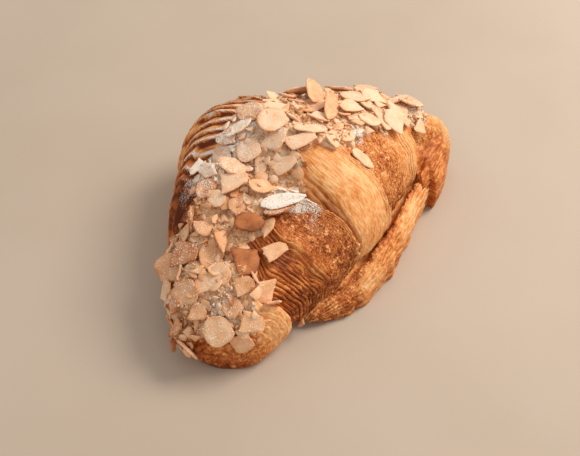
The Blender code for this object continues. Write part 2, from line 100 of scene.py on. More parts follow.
def closed_curve(angles, values, phi):
    """A smooth closed curve through values at the given degrees, read at phi in radians."""
    turn = np.mod(np.degrees(phi) - angles[0], 360.0)
    knots = [angle - angles[0] for angle in angles] + [360.0]
    ring = list(values) + [values[0]]
    result = np.full(np.shape(turn), float(values[0]))
    for i in range(len(angles)):
        inside = (turn >= knots[i]) & (turn <= knots[i + 1])
        share = smooth(knots[i], knots[i + 1], turn)
        result = np.where(inside, ring[i] + (ring[i + 1] - ring[i]) * share, result)
    return result


def wrap_borders(phi):
    """The t of every border between wraps at phi, with both closed ends."""
    shape = np.shape(phi)
    edges = [closed_curve(EDGE_ANGLES, values, phi) for values in WRAP_EDGES]
    return [np.full(shape, -TIP_END)] + edges + [np.full(shape, TIP_END)]


def place_to_t(place, phi):
    """t of a place across the wraps."""
    borders = wrap_borders(phi)
    wrap = np.clip(np.floor(place), NEAR_TIP, FAR_TIP).astype(int)
    share = place - wrap
    share = np.where(wrap == NEAR_TIP, share ** TIP_CROWDING, share)
    share = np.where(wrap == FAR_TIP, 1 - np.maximum(1 - share, 0) ** TIP_CROWDING, share)
    left = np.choose(wrap, borders[:-1])
    return left + (np.choose(wrap, borders[1:]) - left) * share


def t_to_place(t, phi):
    """The place across the wraps of arrays of t and phi."""
    t = np.clip(t, -TIP_END, TIP_END)
    borders = wrap_borders(phi)
    wrap = np.clip(sum((t >= border).astype(int) for border in borders) - 1, NEAR_TIP, FAR_TIP)
    left, right = np.choose(wrap, borders[:-1]), np.choose(wrap, borders[1:])
    share = np.clip((t - left) / (right - left), 0, 1)
    share = np.where(wrap == NEAR_TIP, share ** (1 / TIP_CROWDING), share)
    return wrap + np.where(wrap == FAR_TIP, 1 - (1 - share) ** (1 / TIP_CROWDING), share)


def spine(t):
    """The arc's point on the ground and its outward direction, as arrays."""
    angle = HALF_BEND * t
    x = SPINE_RADIUS * np.sin(angle)
    y = SPINE_RADIUS * (np.cos(angle) - math.cos(HALF_BEND))
    return x, y, np.sin(angle), np.cos(angle)


def station_values(t):
    """Half width on either side and height at t, on smooth curves through the stations."""
    knots, *columns = (np.array(column) for column in zip(*STATIONS))
    i = np.clip(np.searchsorted(knots, t, side="right") - 1, 0, len(knots) - 2)
    gap = knots[i + 1] - knots[i]
    share = np.clip((t - knots[i]) / gap, 0, 1)
    result = []
    for values in columns:
        values = values * MM
        slope = np.gradient(values, knots)
        bends = share * (1 - share) ** 2 * gap * slope[i] + share ** 2 * (share - 1) * gap * slope[i + 1]
        result.append(values[i] + (values[i + 1] - values[i]) * share * share * (3 - 2 * share) + bends)
    return result


def half_sizes(t):
    """Half width on the hollow side, on the outer side, and height of the plain crescent at t."""
    share = np.clip((np.abs(t) - TIP_ROUNDING_START) / (TIP_END - TIP_ROUNDING_START), 0, 1)
    rounding = np.maximum(1 - share ** TIP_ROUNDING_POWER, 0) ** (1 / TIP_ROUNDING_POWER)
    return [value * rounding for value in station_values(t)]


def section(t, phi):
    """Sideways offset and height of the plain crescent's skin, before any relief."""
    inner, outer, height = half_sizes(t)
    level = WIDEST_LEVEL * height
    across, upward = np.cos(phi), np.sin(phi)
    offset = np.where(across > 0, inner, outer) * np.sign(across) * np.abs(across) ** SIDE_POWER
    above = level + (height - level) * np.abs(upward) ** TOP_POWER
    below = level - BASE_DEPTH * level * np.abs(upward) ** BASE_POWER
    return offset, np.where(upward >= 0, above, below)


sizes_in_mm = [np.round(np.array(half_sizes(np.float64(t))) / MM) for t in (-1, 0, 1)]
print("half widths and height at t -1, 0 and 1, in mm:", sizes_in_mm)

# %% [markdown]
# ## The relief of the wraps
# Every wrap swells between its borders and its edge lies over the next one like a step.  The height
# across the wraps is a short profile.  A curve that never overshoots its points keeps the steps crisp
# and the swells round.  Long, soft crags make the crust uneven, and the almond cream lies on top.

# %% Profile, grooves, terraces and crags
PROFILE = (     # place across the wraps, height over the plain crescent in millimetres
    (0.00, 0.0), (0.30, 0.0), (0.55, 0.2), (0.80, 0.6), (0.93, -0.6),
    (1.00, -5.0), (1.14, -4.6), (1.30, -3.4), (1.48, -2.6), (1.72, -1.6), (1.84, -1.5), (1.95, 0.2),
    (2.00, 1.2), (2.08, 1.6), (2.35, 0.9), (2.70, 0.8), (2.94, 1.4),
    (3.00, 1.0), (3.10, -3.4), (3.30, -5.2), (3.45, -4.6), (3.75, -0.6),
    (4.00, 2.2), (4.20, 3.1), (4.50, 3.4), (4.80, 3.0), (4.97, 2.5),
    (5.00, -0.2), (5.12, 0.3), (5.35, 0.7), (5.62, 0.9), (5.86, 1.8), (5.94, 0.8),
    (6.00, -4.4), (6.08, -2.6), (6.20, -1.0), (6.40, -1.0), (6.55, 0.9), (6.75, 0.6), (7.00, 0.0),
)
GROOVE_ON_TOP = 0.45
GROOVE_SIDE, GROOVE_SIDE_SPREAD = 45, 42
GROOVE_OUTER, GROOVE_OUTER_SPREAD, GROOVE_OUTER_SHARE = 165, 35, 0.5
UNDERSIDE_FADE = 0.9
TERRACES_PER_WRAP, TERRACE_DROP = 2.5, 1.5 * MM
TERRACE_LOW, TERRACE_HIGH = (112, 135), (195, 225)
TERRACE_NEAR, TERRACE_FAR = (2.0, 2.3), (5.6, 5.9)
CRAGS = ((34 * MM, 1.3 * MM), (13 * MM, 0.8 * MM), (5.5 * MM, 0.35 * MM))
TOPPING_LOW, TOPPING_HIGH, TOPPING_GAP, TOPPING_GAP_T, TOPPING_GAP_SPREAD = 70, 127, 12, -0.11, 0.12
SPILL_LOW, SPILL_HIGH = 26, 58
SPILL_LOW_FADE, SPILL_HIGH_FADE = (-1.09, -0.98), (-0.82, -0.52)
TOPPING_REACHES = ((0.03, 0.24, -15), (-0.42, 0.12, 5))     # t, spread, degrees more on the outer side
BARE_RIBS = (-0.67, 0.20), 14                               # t and spread, degrees that the ribs stay bare
TOPPING_START, TOPPING_END, TOPPING_END_FADE, TOPPING_BORDER = -1.12, 0.93, 0.10, 5.5
CREAM_LUMP, LUMP_SHIFT, CREAM_THICKNESS, THINNEST_CREAM = 9 * MM, Vector((7, 3, 1)), 1.6 * MM, 0.15


def profile_curve(points, place):
    """A curve through the points that never overshoots them."""
    knots, heights = (np.array(column) for column in zip(*points))
    steps = np.diff(heights) / np.diff(knots)
    slopes = np.zeros(len(knots))
    same_way = steps[:-1] * steps[1:] > 0
    slopes[1:-1][same_way] = 2 / (1 / steps[:-1][same_way] + 1 / steps[1:][same_way])
    i = np.clip(np.searchsorted(knots, place, side="right") - 1, 0, len(knots) - 2)
    gap = knots[i + 1] - knots[i]
    share = np.clip((place - knots[i]) / gap, 0, 1)
    bends = share * (1 - share) ** 2 * gap * slopes[i] + share ** 2 * (share - 1) * gap * slopes[i + 1]
    return heights[i] + (heights[i + 1] - heights[i]) * share * share * (3 - 2 * share) + bends


def topping_limits(t):
    """The angles in degrees between which the topping lies at t."""
    low = TOPPING_LOW + TOPPING_GAP * bump(TOPPING_GAP_T, TOPPING_GAP_SPREAD, t)
    low = low - SPILL_LOW * (1 - smooth(*SPILL_LOW_FADE, t)) + BARE_RIBS[1] * bump(*BARE_RIBS[0], t)
    high = TOPPING_HIGH + SPILL_HIGH * (1 - smooth(*SPILL_HIGH_FADE, t))
    return low, high + sum(reach * bump(middle, spread, t) for middle, spread, reach in TOPPING_REACHES)


def topping_amount(t, phi):
    """1 inside the topping and 0 outside, with a soft border."""
    low, high = topping_limits(t)
    degrees = np.degrees(phi)
    inside = smooth(low - TOPPING_BORDER, low + TOPPING_BORDER, degrees)
    inside = inside * (1 - smooth(high - TOPPING_BORDER, high + TOPPING_BORDER, degrees))
    return inside * (1 - smooth(TOPPING_END, TOPPING_END + TOPPING_END_FADE, t))


def wrap_relief(place, phi, profile):
    """Height of the wraps over the plain crescent: swells, grooves and terraces."""
    relief = profile_curve(profile, place) * MM
    degrees = np.degrees(phi)
    side = bump(GROOVE_SIDE, GROOVE_SIDE_SPREAD, degrees)
    outer = GROOVE_OUTER_SHARE * bump(GROOVE_OUTER, GROOVE_OUTER_SPREAD, degrees)
    depth = GROOVE_ON_TOP + (1 - GROOVE_ON_TOP) * np.clip(side + outer, 0, 1)
    relief = np.where(relief < 0, relief * depth, relief)
    flank = smooth(*TERRACE_LOW, degrees) * (1 - smooth(*TERRACE_HIGH, degrees))
    flank = flank * smooth(*TERRACE_NEAR, place) * (1 - smooth(*TERRACE_FAR, place))
    return relief - TERRACE_DROP * np.mod((place - NEAR_WRAP) * TERRACES_PER_WRAP, 1.0) * flank


def roughness(points):
    """Uneven height of the crust and lumpiness of the topping at an array of points."""
    flat = points.reshape(-1, 3).tolist()
    rough = [sum(high * noise.noise(Vector(point) / long) for long, high in CRAGS) for point in flat]
    lumps = [0.5 + noise.noise(Vector(point) / CREAM_LUMP + LUMP_SHIFT) for point in flat]
    shape = points.shape[:-1]
    return np.array(rough).reshape(shape), np.maximum(np.array(lumps).reshape(shape), THINNEST_CREAM)


def crust_points(t, place, phi, profile=PROFILE, cream=0.0, rise=0.0):
    """Points of the crust, with a share of the cream on it and a rise along its normal."""
    offset, height = section(t, phi)
    x, y, out_x, out_y = spine(t)
    _, outer, full = half_sizes(t)
    across = np.cos(phi) / np.maximum(outer, SHARPEST_TIP)
    upward = np.sin(phi) / np.maximum(full / 2, SHARPEST_TIP)
    length = np.hypot(across, upward)
    rough, lumps = roughness(np.stack([x - out_x * offset, y - out_y * offset, height], -1))
    relief = wrap_relief(place, phi, profile) + rough
    relief = relief + cream * topping_amount(t, phi) * CREAM_THICKNESS * lumps
    relief = relief * (1 - UNDERSIDE_FADE * np.clip(-np.sin(phi), 0, 1)) + rise
    offset = offset + across / length * relief
    height = height + upward / length * relief
    return np.stack([x - out_x * offset, y - out_y * offset, np.maximum(height, 0.0)], -1) + TO_MODEL


print("topping lies between", [np.round(topping_limits(t)) for t in (-1.1, 0.0, 0.9)], "degrees")

# %% [markdown]
# ## From points to a closed mesh
# A wrap is a band of rings round the roll.  A fan closes the band at either end, inside the pastry,
# so every wrap is a solid shell of its own that its neighbours overlap, as the layers of dough do.
# Values that the materials need, such as how brown the crust is, ride along as attributes.

# %% Make a shell from rings of points
def new_object(name, mesh):
    """An object with mesh in the scene."""
    thing = bpy.data.objects.new(name, mesh)
    bpy.context.scene.collection.objects.link(thing)
    return thing


def inside_box(points):
    """The points, none of them outside the box of the solid."""
    return np.clip(points, LOW, HIGH)


def shell(name, rings, values, ends):
    """A closed shell from an array of rings, with a fan to a point at either end."""
    columns, rows = rings.shape[:2]
    points = np.concatenate([rings.reshape(-1, 3), np.array(ends)])
    ids = np.arange(columns * rows).reshape(columns, rows)
    after = np.roll(ids, -1, axis=1)
    quads = np.stack([ids[:-1], after[:-1], after[1:], ids[1:]], -1).reshape(-1, 4).tolist()
    fans = [[a, b, columns * rows] for a, b in zip(after[0], ids[0])]
    fans += [[a, b, columns * rows + 1] for a, b in zip(ids[-1], after[-1])]
    mesh = bpy.data.meshes.new(name)
    mesh.from_pydata(inside_box(points).tolist(), [], quads + fans)
    for label, numbers in values.items():
        numbers = np.append(np.broadcast_to(numbers, (columns, rows)).ravel(), [0.0, 0.0])
        mesh.attributes.new(label, "FLOAT", "POINT").data.foreach_set("value", numbers)
    tidy_faces(mesh)
    return new_object(name, mesh)


def tidy_faces(mesh):
    """Merges doubles, turns the faces outwards and shades them smooth."""
    bm = bmesh.new()
    bm.from_mesh(mesh)
    bmesh.ops.remove_doubles(bm, verts=bm.verts, dist=1e-6)
    bmesh.ops.recalc_face_normals(bm, faces=bm.faces)
    bm.to_mesh(mesh)
    bm.free()
    mesh.shade_smooth()


def around(count, crowding=0.42):
    """The angles round the roll, closer together on top than on the underside."""
    turn = np.arange(count) / count * 2 * math.pi
    return turn - math.pi / 2 + crowding * np.sin(turn)


def wavy(phi, waves, seed):
    """A ragged line to either side of 0 that closes round the roll."""
    spots = [Vector((waves * math.cos(angle), waves * math.sin(angle), seed)) for angle in phi]
    return np.array([noise.noise(spot) + 0.5 * noise.noise(spot * 2.7) + 0.3 * noise.noise(spot * 7)
                     for spot in spots])


print("angles between rows on top and below:", np.round(np.degrees(np.diff(around(360))[[180, 0]]), 2))

# %% [markdown]
# ## Nodes in few words
# Geometry Nodes and materials are both trees of nodes.  Two small helpers make such a tree readable:
# one adds a node and links or sets its inputs, the other makes a group with named inputs.

# %% Helpers for node trees
def put(tree, kind, inputs=None, out=0, **settings):
    """Adds a node, links or sets its inputs and returns one of its outputs."""
    made = tree.nodes.new(kind)
    for name, value in settings.items():
        setattr(made, name, value)
    for name, value in (inputs or {}).items():
        if isinstance(value, bpy.types.NodeSocket):
            tree.links.new(value, made.inputs[name])
        else:
            made.inputs[name].default_value = value
    return made.outputs[out]


def calc(tree, operation, *values):
    """A math node on one to three values."""
    return put(tree, "ShaderNodeMath", dict(enumerate(values)), operation=operation)


def soft_step(tree, value, low, high):
    """0 below low, 1 above high and a soft slope between, as a node."""
    ends = {"Value": value, "From Min": low, "From Max": high}
    return put(tree, "ShaderNodeMapRange", ends, interpolation_type="SMOOTHSTEP")


def grain(tree, where, scale, detail=3.0, roughness=0.55):
    """A noise between about 0.3 and 0.7."""
    inputs = {"Vector": where, "Scale": scale, "Detail": detail, "Roughness": roughness}
    return put(tree, "ShaderNodeTexNoise", inputs)


def new_group(name, kind, inputs, outputs):
    """A node group with named sockets, and its input and output sockets."""
    tree = bpy.data.node_groups.new(name, kind)
    for label, (socket, value) in inputs.items():
        made = tree.interface.new_socket(label, in_out="INPUT", socket_type=socket)
        if value is not None:
            made.default_value = value
    for label, socket in outputs.items():
        tree.interface.new_socket(label, in_out="OUTPUT", socket_type=socket)
    return tree, tree.nodes.new("NodeGroupInput").outputs, tree.nodes.new("NodeGroupOutput").inputs


def bake(thing, tree, **values):
    """Runs a Geometry Nodes tree on thing and keeps its result as a plain mesh."""
    modifier = thing.modifiers.new(tree.name, "NODES")
    modifier.node_group = tree
    sockets = {item.name: item.identifier for item in tree.interface.items_tree if item.in_out == "INPUT"}
    for label, value in values.items():
        modifier[sockets[label.replace("_", " ")]] = value
    graph = bpy.context.evaluated_depsgraph_get()
    result = thing.evaluated_get(graph)
    mesh = bpy.data.meshes.new_from_object(result, preserve_all_data_layers=True, depsgraph=graph)
    thing.modifiers.remove(modifier)
    thing.data = mesh
    places = np.empty(len(mesh.vertices) * 3, np.float32)
    mesh.vertices.foreach_get("co", places)
    mesh.vertices.foreach_set("co", inside_box(places.reshape(-1, 3)).astype(np.float32).ravel())
    mesh.update()
    return thing


def count_triangles(thing):
    """How many triangles a piece has."""
    return sum(len(face.vertices) - 2 for face in thing.data.polygons)


FLOAT, COLOUR = "NodeSocketFloat", "NodeSocketColor"
GEOMETRY, MATERIAL, COLLECTION = "NodeSocketGeometry", "NodeSocketMaterial", "NodeSocketCollection"
print("kinds of input:", FLOAT, COLOUR, GEOMETRY, MATERIAL, COLLECTION)

# %% [markdown]
# ## Fine layers in the crust
# Laminated dough bakes into hundreds of thin layers.  Where they end they show as fine steps, and
# between them the crust blisters.  This follows the surface, so a Geometry Nodes tree does it: it
# reads how far a point lies across and along the layers, and moves it along its normal.

# %% A Geometry Nodes tree for layers and blisters
def named(tree, name):
    """A float attribute of the mesh, inside Geometry Nodes."""
    return put(tree, "GeometryNodeInputNamedAttribute", {"Name": name}, data_type="FLOAT")


def layers_tree():
    """The tree that cuts fine layers and blisters into a crust."""
    sizes = {
        "Geometry": (GEOMETRY, None), "Layer Width": (FLOAT, 2 * MM), "Layer Height": (FLOAT, 0.3 * MM),
        "Line Width": (FLOAT, 0.6 * MM), "Line Height": (FLOAT, 0.1 * MM), "Line Length": (FLOAT, 9 * MM),
        "Blister Size": (FLOAT, 2 * MM), "Blister Height": (FLOAT, 0.3 * MM),
        "Waviness": (FLOAT, 1.5 * MM), "Material": (MATERIAL, None),
    }
    tree, given, result = new_group("crust layers", "GeometryNodeTree", sizes, {"Geometry": GEOMETRY})
    labels = ("across", "along", "skin", "rough", "ribs")
    across, along, skin, rough, ribs = (named(tree, label) for label in labels)
    position = put(tree, "GeometryNodeInputPosition")
    sway = calc(tree, "SUBTRACT", grain(tree, position, 110.0), 0.5)
    bent = calc(tree, "MULTIPLY_ADD", sway, calc(tree, "MULTIPLY", given["Waviness"], 4.0), across)
    saw = calc(tree, "FRACT", calc(tree, "DIVIDE", bent, given["Layer Width"]))
    step = calc(tree, "MULTIPLY", saw, calc(tree, "SUBTRACT", 1.0, soft_step(tree, saw, 0.93, 1.0)))
    patch = soft_step(tree, grain(tree, position, 70.0, 1.0), 0.30, 0.5)
    layers = calc(tree, "MULTIPLY", calc(tree, "MULTIPLY", step, calc(tree, "MULTIPLY", patch, ribs)),
                  given["Layer Height"])
    fine = put(tree, "ShaderNodeCombineXYZ", {
        "X": calc(tree, "DIVIDE", bent, given["Line Width"]),
        "Y": calc(tree, "DIVIDE", along, given["Line Length"])})
    lines = calc(tree, "MULTIPLY", calc(tree, "SUBTRACT", grain(tree, fine, 1.0, 4.0, 0.65), 0.5),
                 given["Line Height"])
    size = calc(tree, "DIVIDE", 1.0, given["Blister Size"])
    cells = {"Vector": position, "Scale": calc(tree, "MULTIPLY", size, 0.5), "Randomness": 1.0}
    bubbles = put(tree, "ShaderNodeTexVoronoi", cells, feature="SMOOTH_F1")
    crisp = calc(tree, "SUBTRACT", grain(tree, position, size, 4.0, 0.75), 0.45)
    rugged = calc(tree, "ADD", calc(tree, "MULTIPLY", bubbles, -0.5), calc(tree, "MULTIPLY", crisp, 3.2))
    blisters = calc(tree, "MULTIPLY", calc(tree, "MULTIPLY", rugged, rough), given["Blister Height"])
    height = calc(tree, "ADD", calc(tree, "ADD", layers, calc(tree, "MULTIPLY", lines, 2.0)), blisters)
    height = calc(tree, "MULTIPLY", height, skin)
    offset = put(tree, "ShaderNodeVectorMath", {0: put(tree, "GeometryNodeInputNormal"), "Scale": height},
                 operation="SCALE")
    kept = put(tree, "GeometryNodeStoreNamedAttribute",
               {"Geometry": given["Geometry"], "Name": "relief", "Value": height}, data_type="FLOAT")
    moved = put(tree, "GeometryNodeSetPosition", {"Geometry": kept, "Offset": offset})
    real = put(tree, "GeometryNodeRealizeInstances", {"Geometry": moved})
    tree.links.new(put(tree, "GeometryNodeSetMaterial", {"Geometry": real, "Material": given["Material"]}),
                   result["Geometry"])
    return tree


LAYERS = layers_tree()
print("crust layers has", len(LAYERS.nodes), "nodes")

# %% [markdown]
# ## Effects that the materials share
# Baking browns every edge and hollow a little differently, and icing sugar lies where the crust faces
# up.  The browning also carries painted shade in some hollows.  Both are shader node groups, so that
# all materials use the same effect with their own values.
# A group hands out only colours and masks, and each material keeps its own shader.

# %% Shader node groups
def reading(tree, name):
    """A float attribute of the mesh, inside a shader tree."""
    return put(tree, "ShaderNodeAttribute", out=2, attribute_name=name)


def mixed(tree, share, first, second):
    """Two colours mixed: the mix node takes its share as input 0 and colours as inputs 6 and 7."""
    return put(tree, "ShaderNodeMix", {0: share, 6: first, 7: second}, out=2, data_type="RGBA")


def browning_group():
    """Colour of the crust, from pale gold to dark brown, by how long it baked and by the painted shade added to its
    Bake value.
    """
    inputs = {"Bake": (FLOAT, 0.4), "Pale": (COLOUR, (1, 1, 1, 1)), "Golden": (COLOUR, (1, 1, 1, 1)),
              "Caramel": (COLOUR, (1, 1, 1, 1)), "Dark": (COLOUR, (1, 1, 1, 1))}
    tree, given, result = new_group("browning", "ShaderNodeTree", inputs, {"Color": COLOUR})
    light = mixed(tree, soft_step(tree, given["Bake"], 0.0, 0.38), given["Pale"], given["Golden"])
    warm = mixed(tree, soft_step(tree, given["Bake"], 0.32, 0.68), light, given["Caramel"])
    dark = mixed(tree, soft_step(tree, given["Bake"], 0.64, 1.0), warm, given["Dark"])
    tree.links.new(dark, result["Color"])
    return tree


def sugar_group():
    """Where icing sugar lies: on faces that look up, in patches and in grains."""
    inputs = {"Amount": (FLOAT, 0.3), "Patch Size": (FLOAT, 6 * MM), "Grain Size": (FLOAT, 0.5 * MM)}
    tree, given, result = new_group("sugar dust", "ShaderNodeTree", inputs, {"Mask": FLOAT})
    place = put(tree, "ShaderNodeTexCoord", out="Object")
    up = put(tree, "ShaderNodeSeparateXYZ", {0: put(tree, "ShaderNodeNewGeometry", out="Normal")}, out="Z")
    patches = grain(tree, place, calc(tree, "DIVIDE", 1.0, given["Patch Size"]), 2.0)
    grains = grain(tree, place, calc(tree, "DIVIDE", 1.0, given["Grain Size"]), 2.0, 0.7)
    lies = calc(tree, "MULTIPLY", given["Amount"], soft_step(tree, up, -0.35, 0.45))
    level = calc(tree, "ADD", calc(tree, "MULTIPLY", patches, 0.6), calc(tree, "MULTIPLY", grains, 1.1))
    edge = calc(tree, "MULTIPLY_ADD", lies, -0.55, 1.33)
    tree.links.new(soft_step(tree, level, calc(tree, "SUBTRACT", edge, 0.07), edge), result["Mask"])
    return tree


BROWNING, SUGAR_DUST = browning_group(), sugar_group()
print("groups:", BROWNING.name, "and", SUGAR_DUST.name)

# %% [markdown]
# ## Crust, cream and almond
# The crust is a matt brown skin with a faint gloss from the butter.  It could be one colour with a
# bump, but a real one changes from straw to caramel within a millimetre.  So its colour follows how
# brown each place is, streaks along the layers and speckles between them.  It is also drawn darker in
# the gaps between the fine layers and paler on their crests, which is painted shade.

# %% Materials of the crust
PALE, GOLDEN = (0.90, 0.52, 0.24, 1), (0.76, 0.30, 0.085, 1)
CARAMEL, DARK = (0.46, 0.115, 0.022, 1), (0.15, 0.030, 0.007, 1)
SUGAR_WHITE = (0.88, 0.80, 0.71, 1)


def new_material(name, **fixed):
    """A material, its tree and its shader, with fixed values on the shader."""
    material = bpy.data.materials.new(name)
    material.use_nodes = True
    shader = material.node_tree.nodes["Principled BSDF"]
    for label, value in fixed.items():
        shader.inputs[label.replace("_", " ")].default_value = value
    return material, material.node_tree, shader.inputs


def crust_material(name, line_width, line_length, streak, speckle, gloss):
    """Baked crust with streaks along its layers."""
    material, tree, shader = new_material(
        name, Coat_Roughness=0.45, Coat_Weight=gloss, Specular_IOR_Level=0.15)
    place = put(tree, "ShaderNodeTexCoord", out="Object")
    streak_place = put(tree, "ShaderNodeCombineXYZ", {
        "X": calc(tree, "DIVIDE", reading(tree, "across"), line_width),
        "Y": calc(tree, "DIVIDE", reading(tree, "along"), line_length)})
    streaks = calc(tree, "SUBTRACT", grain(tree, streak_place, 1.0, 4.0, 0.6), 0.5)
    speckles = calc(tree, "SUBTRACT", grain(tree, place, 1500.0, 4.0, 0.7), 0.5)
    clouds = calc(tree, "SUBTRACT", grain(tree, place, 110.0, 5.0, 0.62), 0.5)
    shifted = put(tree, "ShaderNodeVectorMath", {0: place, 1: (0.3, 0.1, 0.7)})
    flecks = grain(tree, shifted, 520.0, 3.0, 0.6)
    pale, burnt = soft_step(tree, flecks, 0.57, 0.66), soft_step(tree, flecks, 0.43, 0.34)
    height = calc(tree, "DIVIDE", reading(tree, "relief"), MM)
    brown_and_shade = calc(tree, "MULTIPLY_ADD", streaks, streak, reading(tree, "bake"))
    brown_and_shade = calc(tree, "MULTIPLY_ADD", clouds, 1.0, brown_and_shade)
    uneven = calc(tree, "MULTIPLY_ADD", reading(tree, "rough"), speckle, 0.3)
    brown_and_shade = calc(tree, "MULTIPLY_ADD", speckles, uneven, brown_and_shade)
    brown_and_shade = calc(tree, "MULTIPLY_ADD", burnt, calc(tree, "MULTIPLY", uneven, 0.12), brown_and_shade)
    brown_and_shade = calc(tree, "MULTIPLY_ADD", pale, calc(tree, "MULTIPLY", uneven, -0.24), brown_and_shade)
    # Painted shade: the crust is drawn darker in the gaps between its fine layers and paler on their crests, by 0.30
    # for every millimetre of relief.
    brown_and_shade = calc(tree, "MULTIPLY_ADD", height, -0.30, brown_and_shade)
    colours = {"Bake": brown_and_shade, "Pale": PALE, "Golden": GOLDEN, "Caramel": CARAMEL, "Dark": DARK}
    colour = put(tree, "ShaderNodeGroup", colours, node_tree=BROWNING)
    sugar = put(tree, "ShaderNodeGroup", {"Amount": reading(tree, "sugar")}, node_tree=SUGAR_DUST)
    tree.links.new(mixed(tree, sugar, colour, SUGAR_WHITE), shader["Base Color"])
    dull = calc(tree, "MULTIPLY_ADD", brown_and_shade, 0.12, 0.46)
    tree.links.new(calc(tree, "MULTIPLY_ADD", sugar, 0.35, dull), shader["Roughness"])
    bumps = calc(tree, "MULTIPLY_ADD", speckles, uneven, calc(tree, "MULTIPLY", streaks, streak))
    bumps = calc(tree, "MULTIPLY_ADD", sugar, 0.5, bumps)
    relief = put(tree, "ShaderNodeBump", {"Height": bumps, "Strength": 0.8, "Distance": 0.35 * MM})
    tree.links.new(relief, shader["Normal"])
    return material


SMOOTH_CRUST = crust_material("smooth golden crust", 0.8 * MM, 5.0 * MM, 1.5, 1.0, 0.12)
ROUGH_CRUST = crust_material("rough speckled crust", 0.9 * MM, 3.6 * MM, 1.0, 1.6, 0.08)
RIBBED_CRUST = crust_material("ribbed wall crust", 0.5 * MM, 9 * MM, 1.1, 0.9, 0.10)
print("crust materials:", SMOOTH_CRUST.name, ROUGH_CRUST.name, RIBBED_CRUST.name)

# %% [markdown]
# ## Almonds, cream and sugar
# Flaked almonds are pale and toast towards the rim, and the cream between them bakes to a sandy brown.
# Both use the browning group with colours of their own, so that they brown as the crust does.  The
# sugar is a nearly white, dull powder, a little warmer in places.

# %% Materials of the almonds, the cream and the sugar
ALMOND_PALE, ALMOND_TAN = (0.90, 0.61, 0.40, 1), (0.79, 0.42, 0.21, 1)
ALMOND_TOASTED, ALMOND_BROWN = (0.52, 0.17, 0.05, 1), (0.22, 0.06, 0.015, 1)
CREAM_COLOURS = {"Pale": (0.86, 0.62, 0.42, 1), "Golden": (0.76, 0.42, 0.20, 1),
                 "Caramel": (0.46, 0.18, 0.06, 1), "Dark": (0.20, 0.06, 0.02, 1)}


def almond_material():
    """Flaked almond: pale inside, toasted towards its rim, dusted with sugar."""
    material, tree, shader = new_material("flaked almond", Specular_IOR_Level=0.3, Roughness=0.6)
    place = put(tree, "ShaderNodeTexCoord", out="Object")
    rim = reading(tree, "rim")
    clouds = calc(tree, "SUBTRACT", grain(tree, place, 190.0, 3.0), 0.5)
    fibres = calc(tree, "SUBTRACT", grain(tree, place, 1400.0, 2.0), 0.5)
    toast = calc(tree, "MULTIPLY_ADD", clouds, 0.7, reading(tree, "toast"))
    toast = calc(tree, "MULTIPLY_ADD", fibres, 0.25, toast)
    toast = calc(tree, "MULTIPLY_ADD", soft_step(tree, rim, 0.72, 1.0), 0.10, toast)
    colours = {"Bake": toast, "Pale": ALMOND_PALE, "Golden": ALMOND_TAN, "Caramel": ALMOND_TOASTED,
               "Dark": ALMOND_BROWN}
    colour = put(tree, "ShaderNodeGroup", colours, node_tree=BROWNING)
    sugar = put(tree, "ShaderNodeGroup", {"Amount": reading(tree, "sugar"), "Patch Size": 4 * MM},
                node_tree=SUGAR_DUST)
    tree.links.new(mixed(tree, sugar, colour, SUGAR_WHITE), shader["Base Color"])
    bumps = calc(tree, "MULTIPLY_ADD", sugar, 0.6, calc(tree, "ADD", fibres, clouds))
    relief = put(tree, "ShaderNodeBump", {"Height": bumps, "Strength": 0.5, "Distance": 0.3 * MM})
    tree.links.new(relief, shader["Normal"])
    return material


def cream_material():
    """Baked almond cream between the flakes, mostly under sugar."""
    material, tree, shader = new_material("baked almond cream", Specular_IOR_Level=0.3, Roughness=0.75)
    place = put(tree, "ShaderNodeTexCoord", out="Object")
    clouds = calc(tree, "SUBTRACT", grain(tree, place, 160.0, 4.0, 0.6), 0.5)
    speckles = calc(tree, "SUBTRACT", grain(tree, place, 800.0, 3.0, 0.7), 0.5)
    brown_and_shade = calc(tree, "MULTIPLY_ADD", clouds, 1.5, reading(tree, "bake"))
    brown_and_shade = calc(tree, "MULTIPLY_ADD", speckles, 1.1, brown_and_shade)
    colour = put(tree, "ShaderNodeGroup", {"Bake": brown_and_shade, **CREAM_COLOURS}, node_tree=BROWNING)
    sugar = put(tree, "ShaderNodeGroup", {"Amount": reading(tree, "sugar"), "Patch Size": 5 * MM},
                node_tree=SUGAR_DUST)
    tree.links.new(mixed(tree, sugar, colour, SUGAR_WHITE), shader["Base Color"])
    bumps = calc(tree, "ADD", calc(tree, "ADD", clouds, speckles), sugar)
    relief = put(tree, "ShaderNodeBump", {"Height": bumps, "Strength": 0.7, "Distance": 0.3 * MM})
    tree.links.new(relief, shader["Normal"])
    return material


def sugar_material():
    """Clumps of icing sugar."""
    material, tree, shader = new_material("icing sugar", Roughness=0.9, Specular_IOR_Level=0.2)
    place = put(tree, "ShaderNodeTexCoord", out="Object")
    tint = soft_step(tree, grain(tree, place, 300.0), 0.3, 0.7)
    tree.links.new(mixed(tree, tint, (0.93, 0.89, 0.83, 1), (0.84, 0.74, 0.62, 1)), shader["Base Color"])
    relief = put(tree, "ShaderNodeBump", {"Height": grain(tree, place, 4000.0), "Strength": 0.5,
                                          "Distance": 0.1 * MM})
    tree.links.new(relief, shader["Normal"])
    return material


ALMOND, CREAM, SUGAR = almond_material(), cream_material(), sugar_material()
print("topping materials:", ALMOND.name, CREAM.name, SUGAR.name)
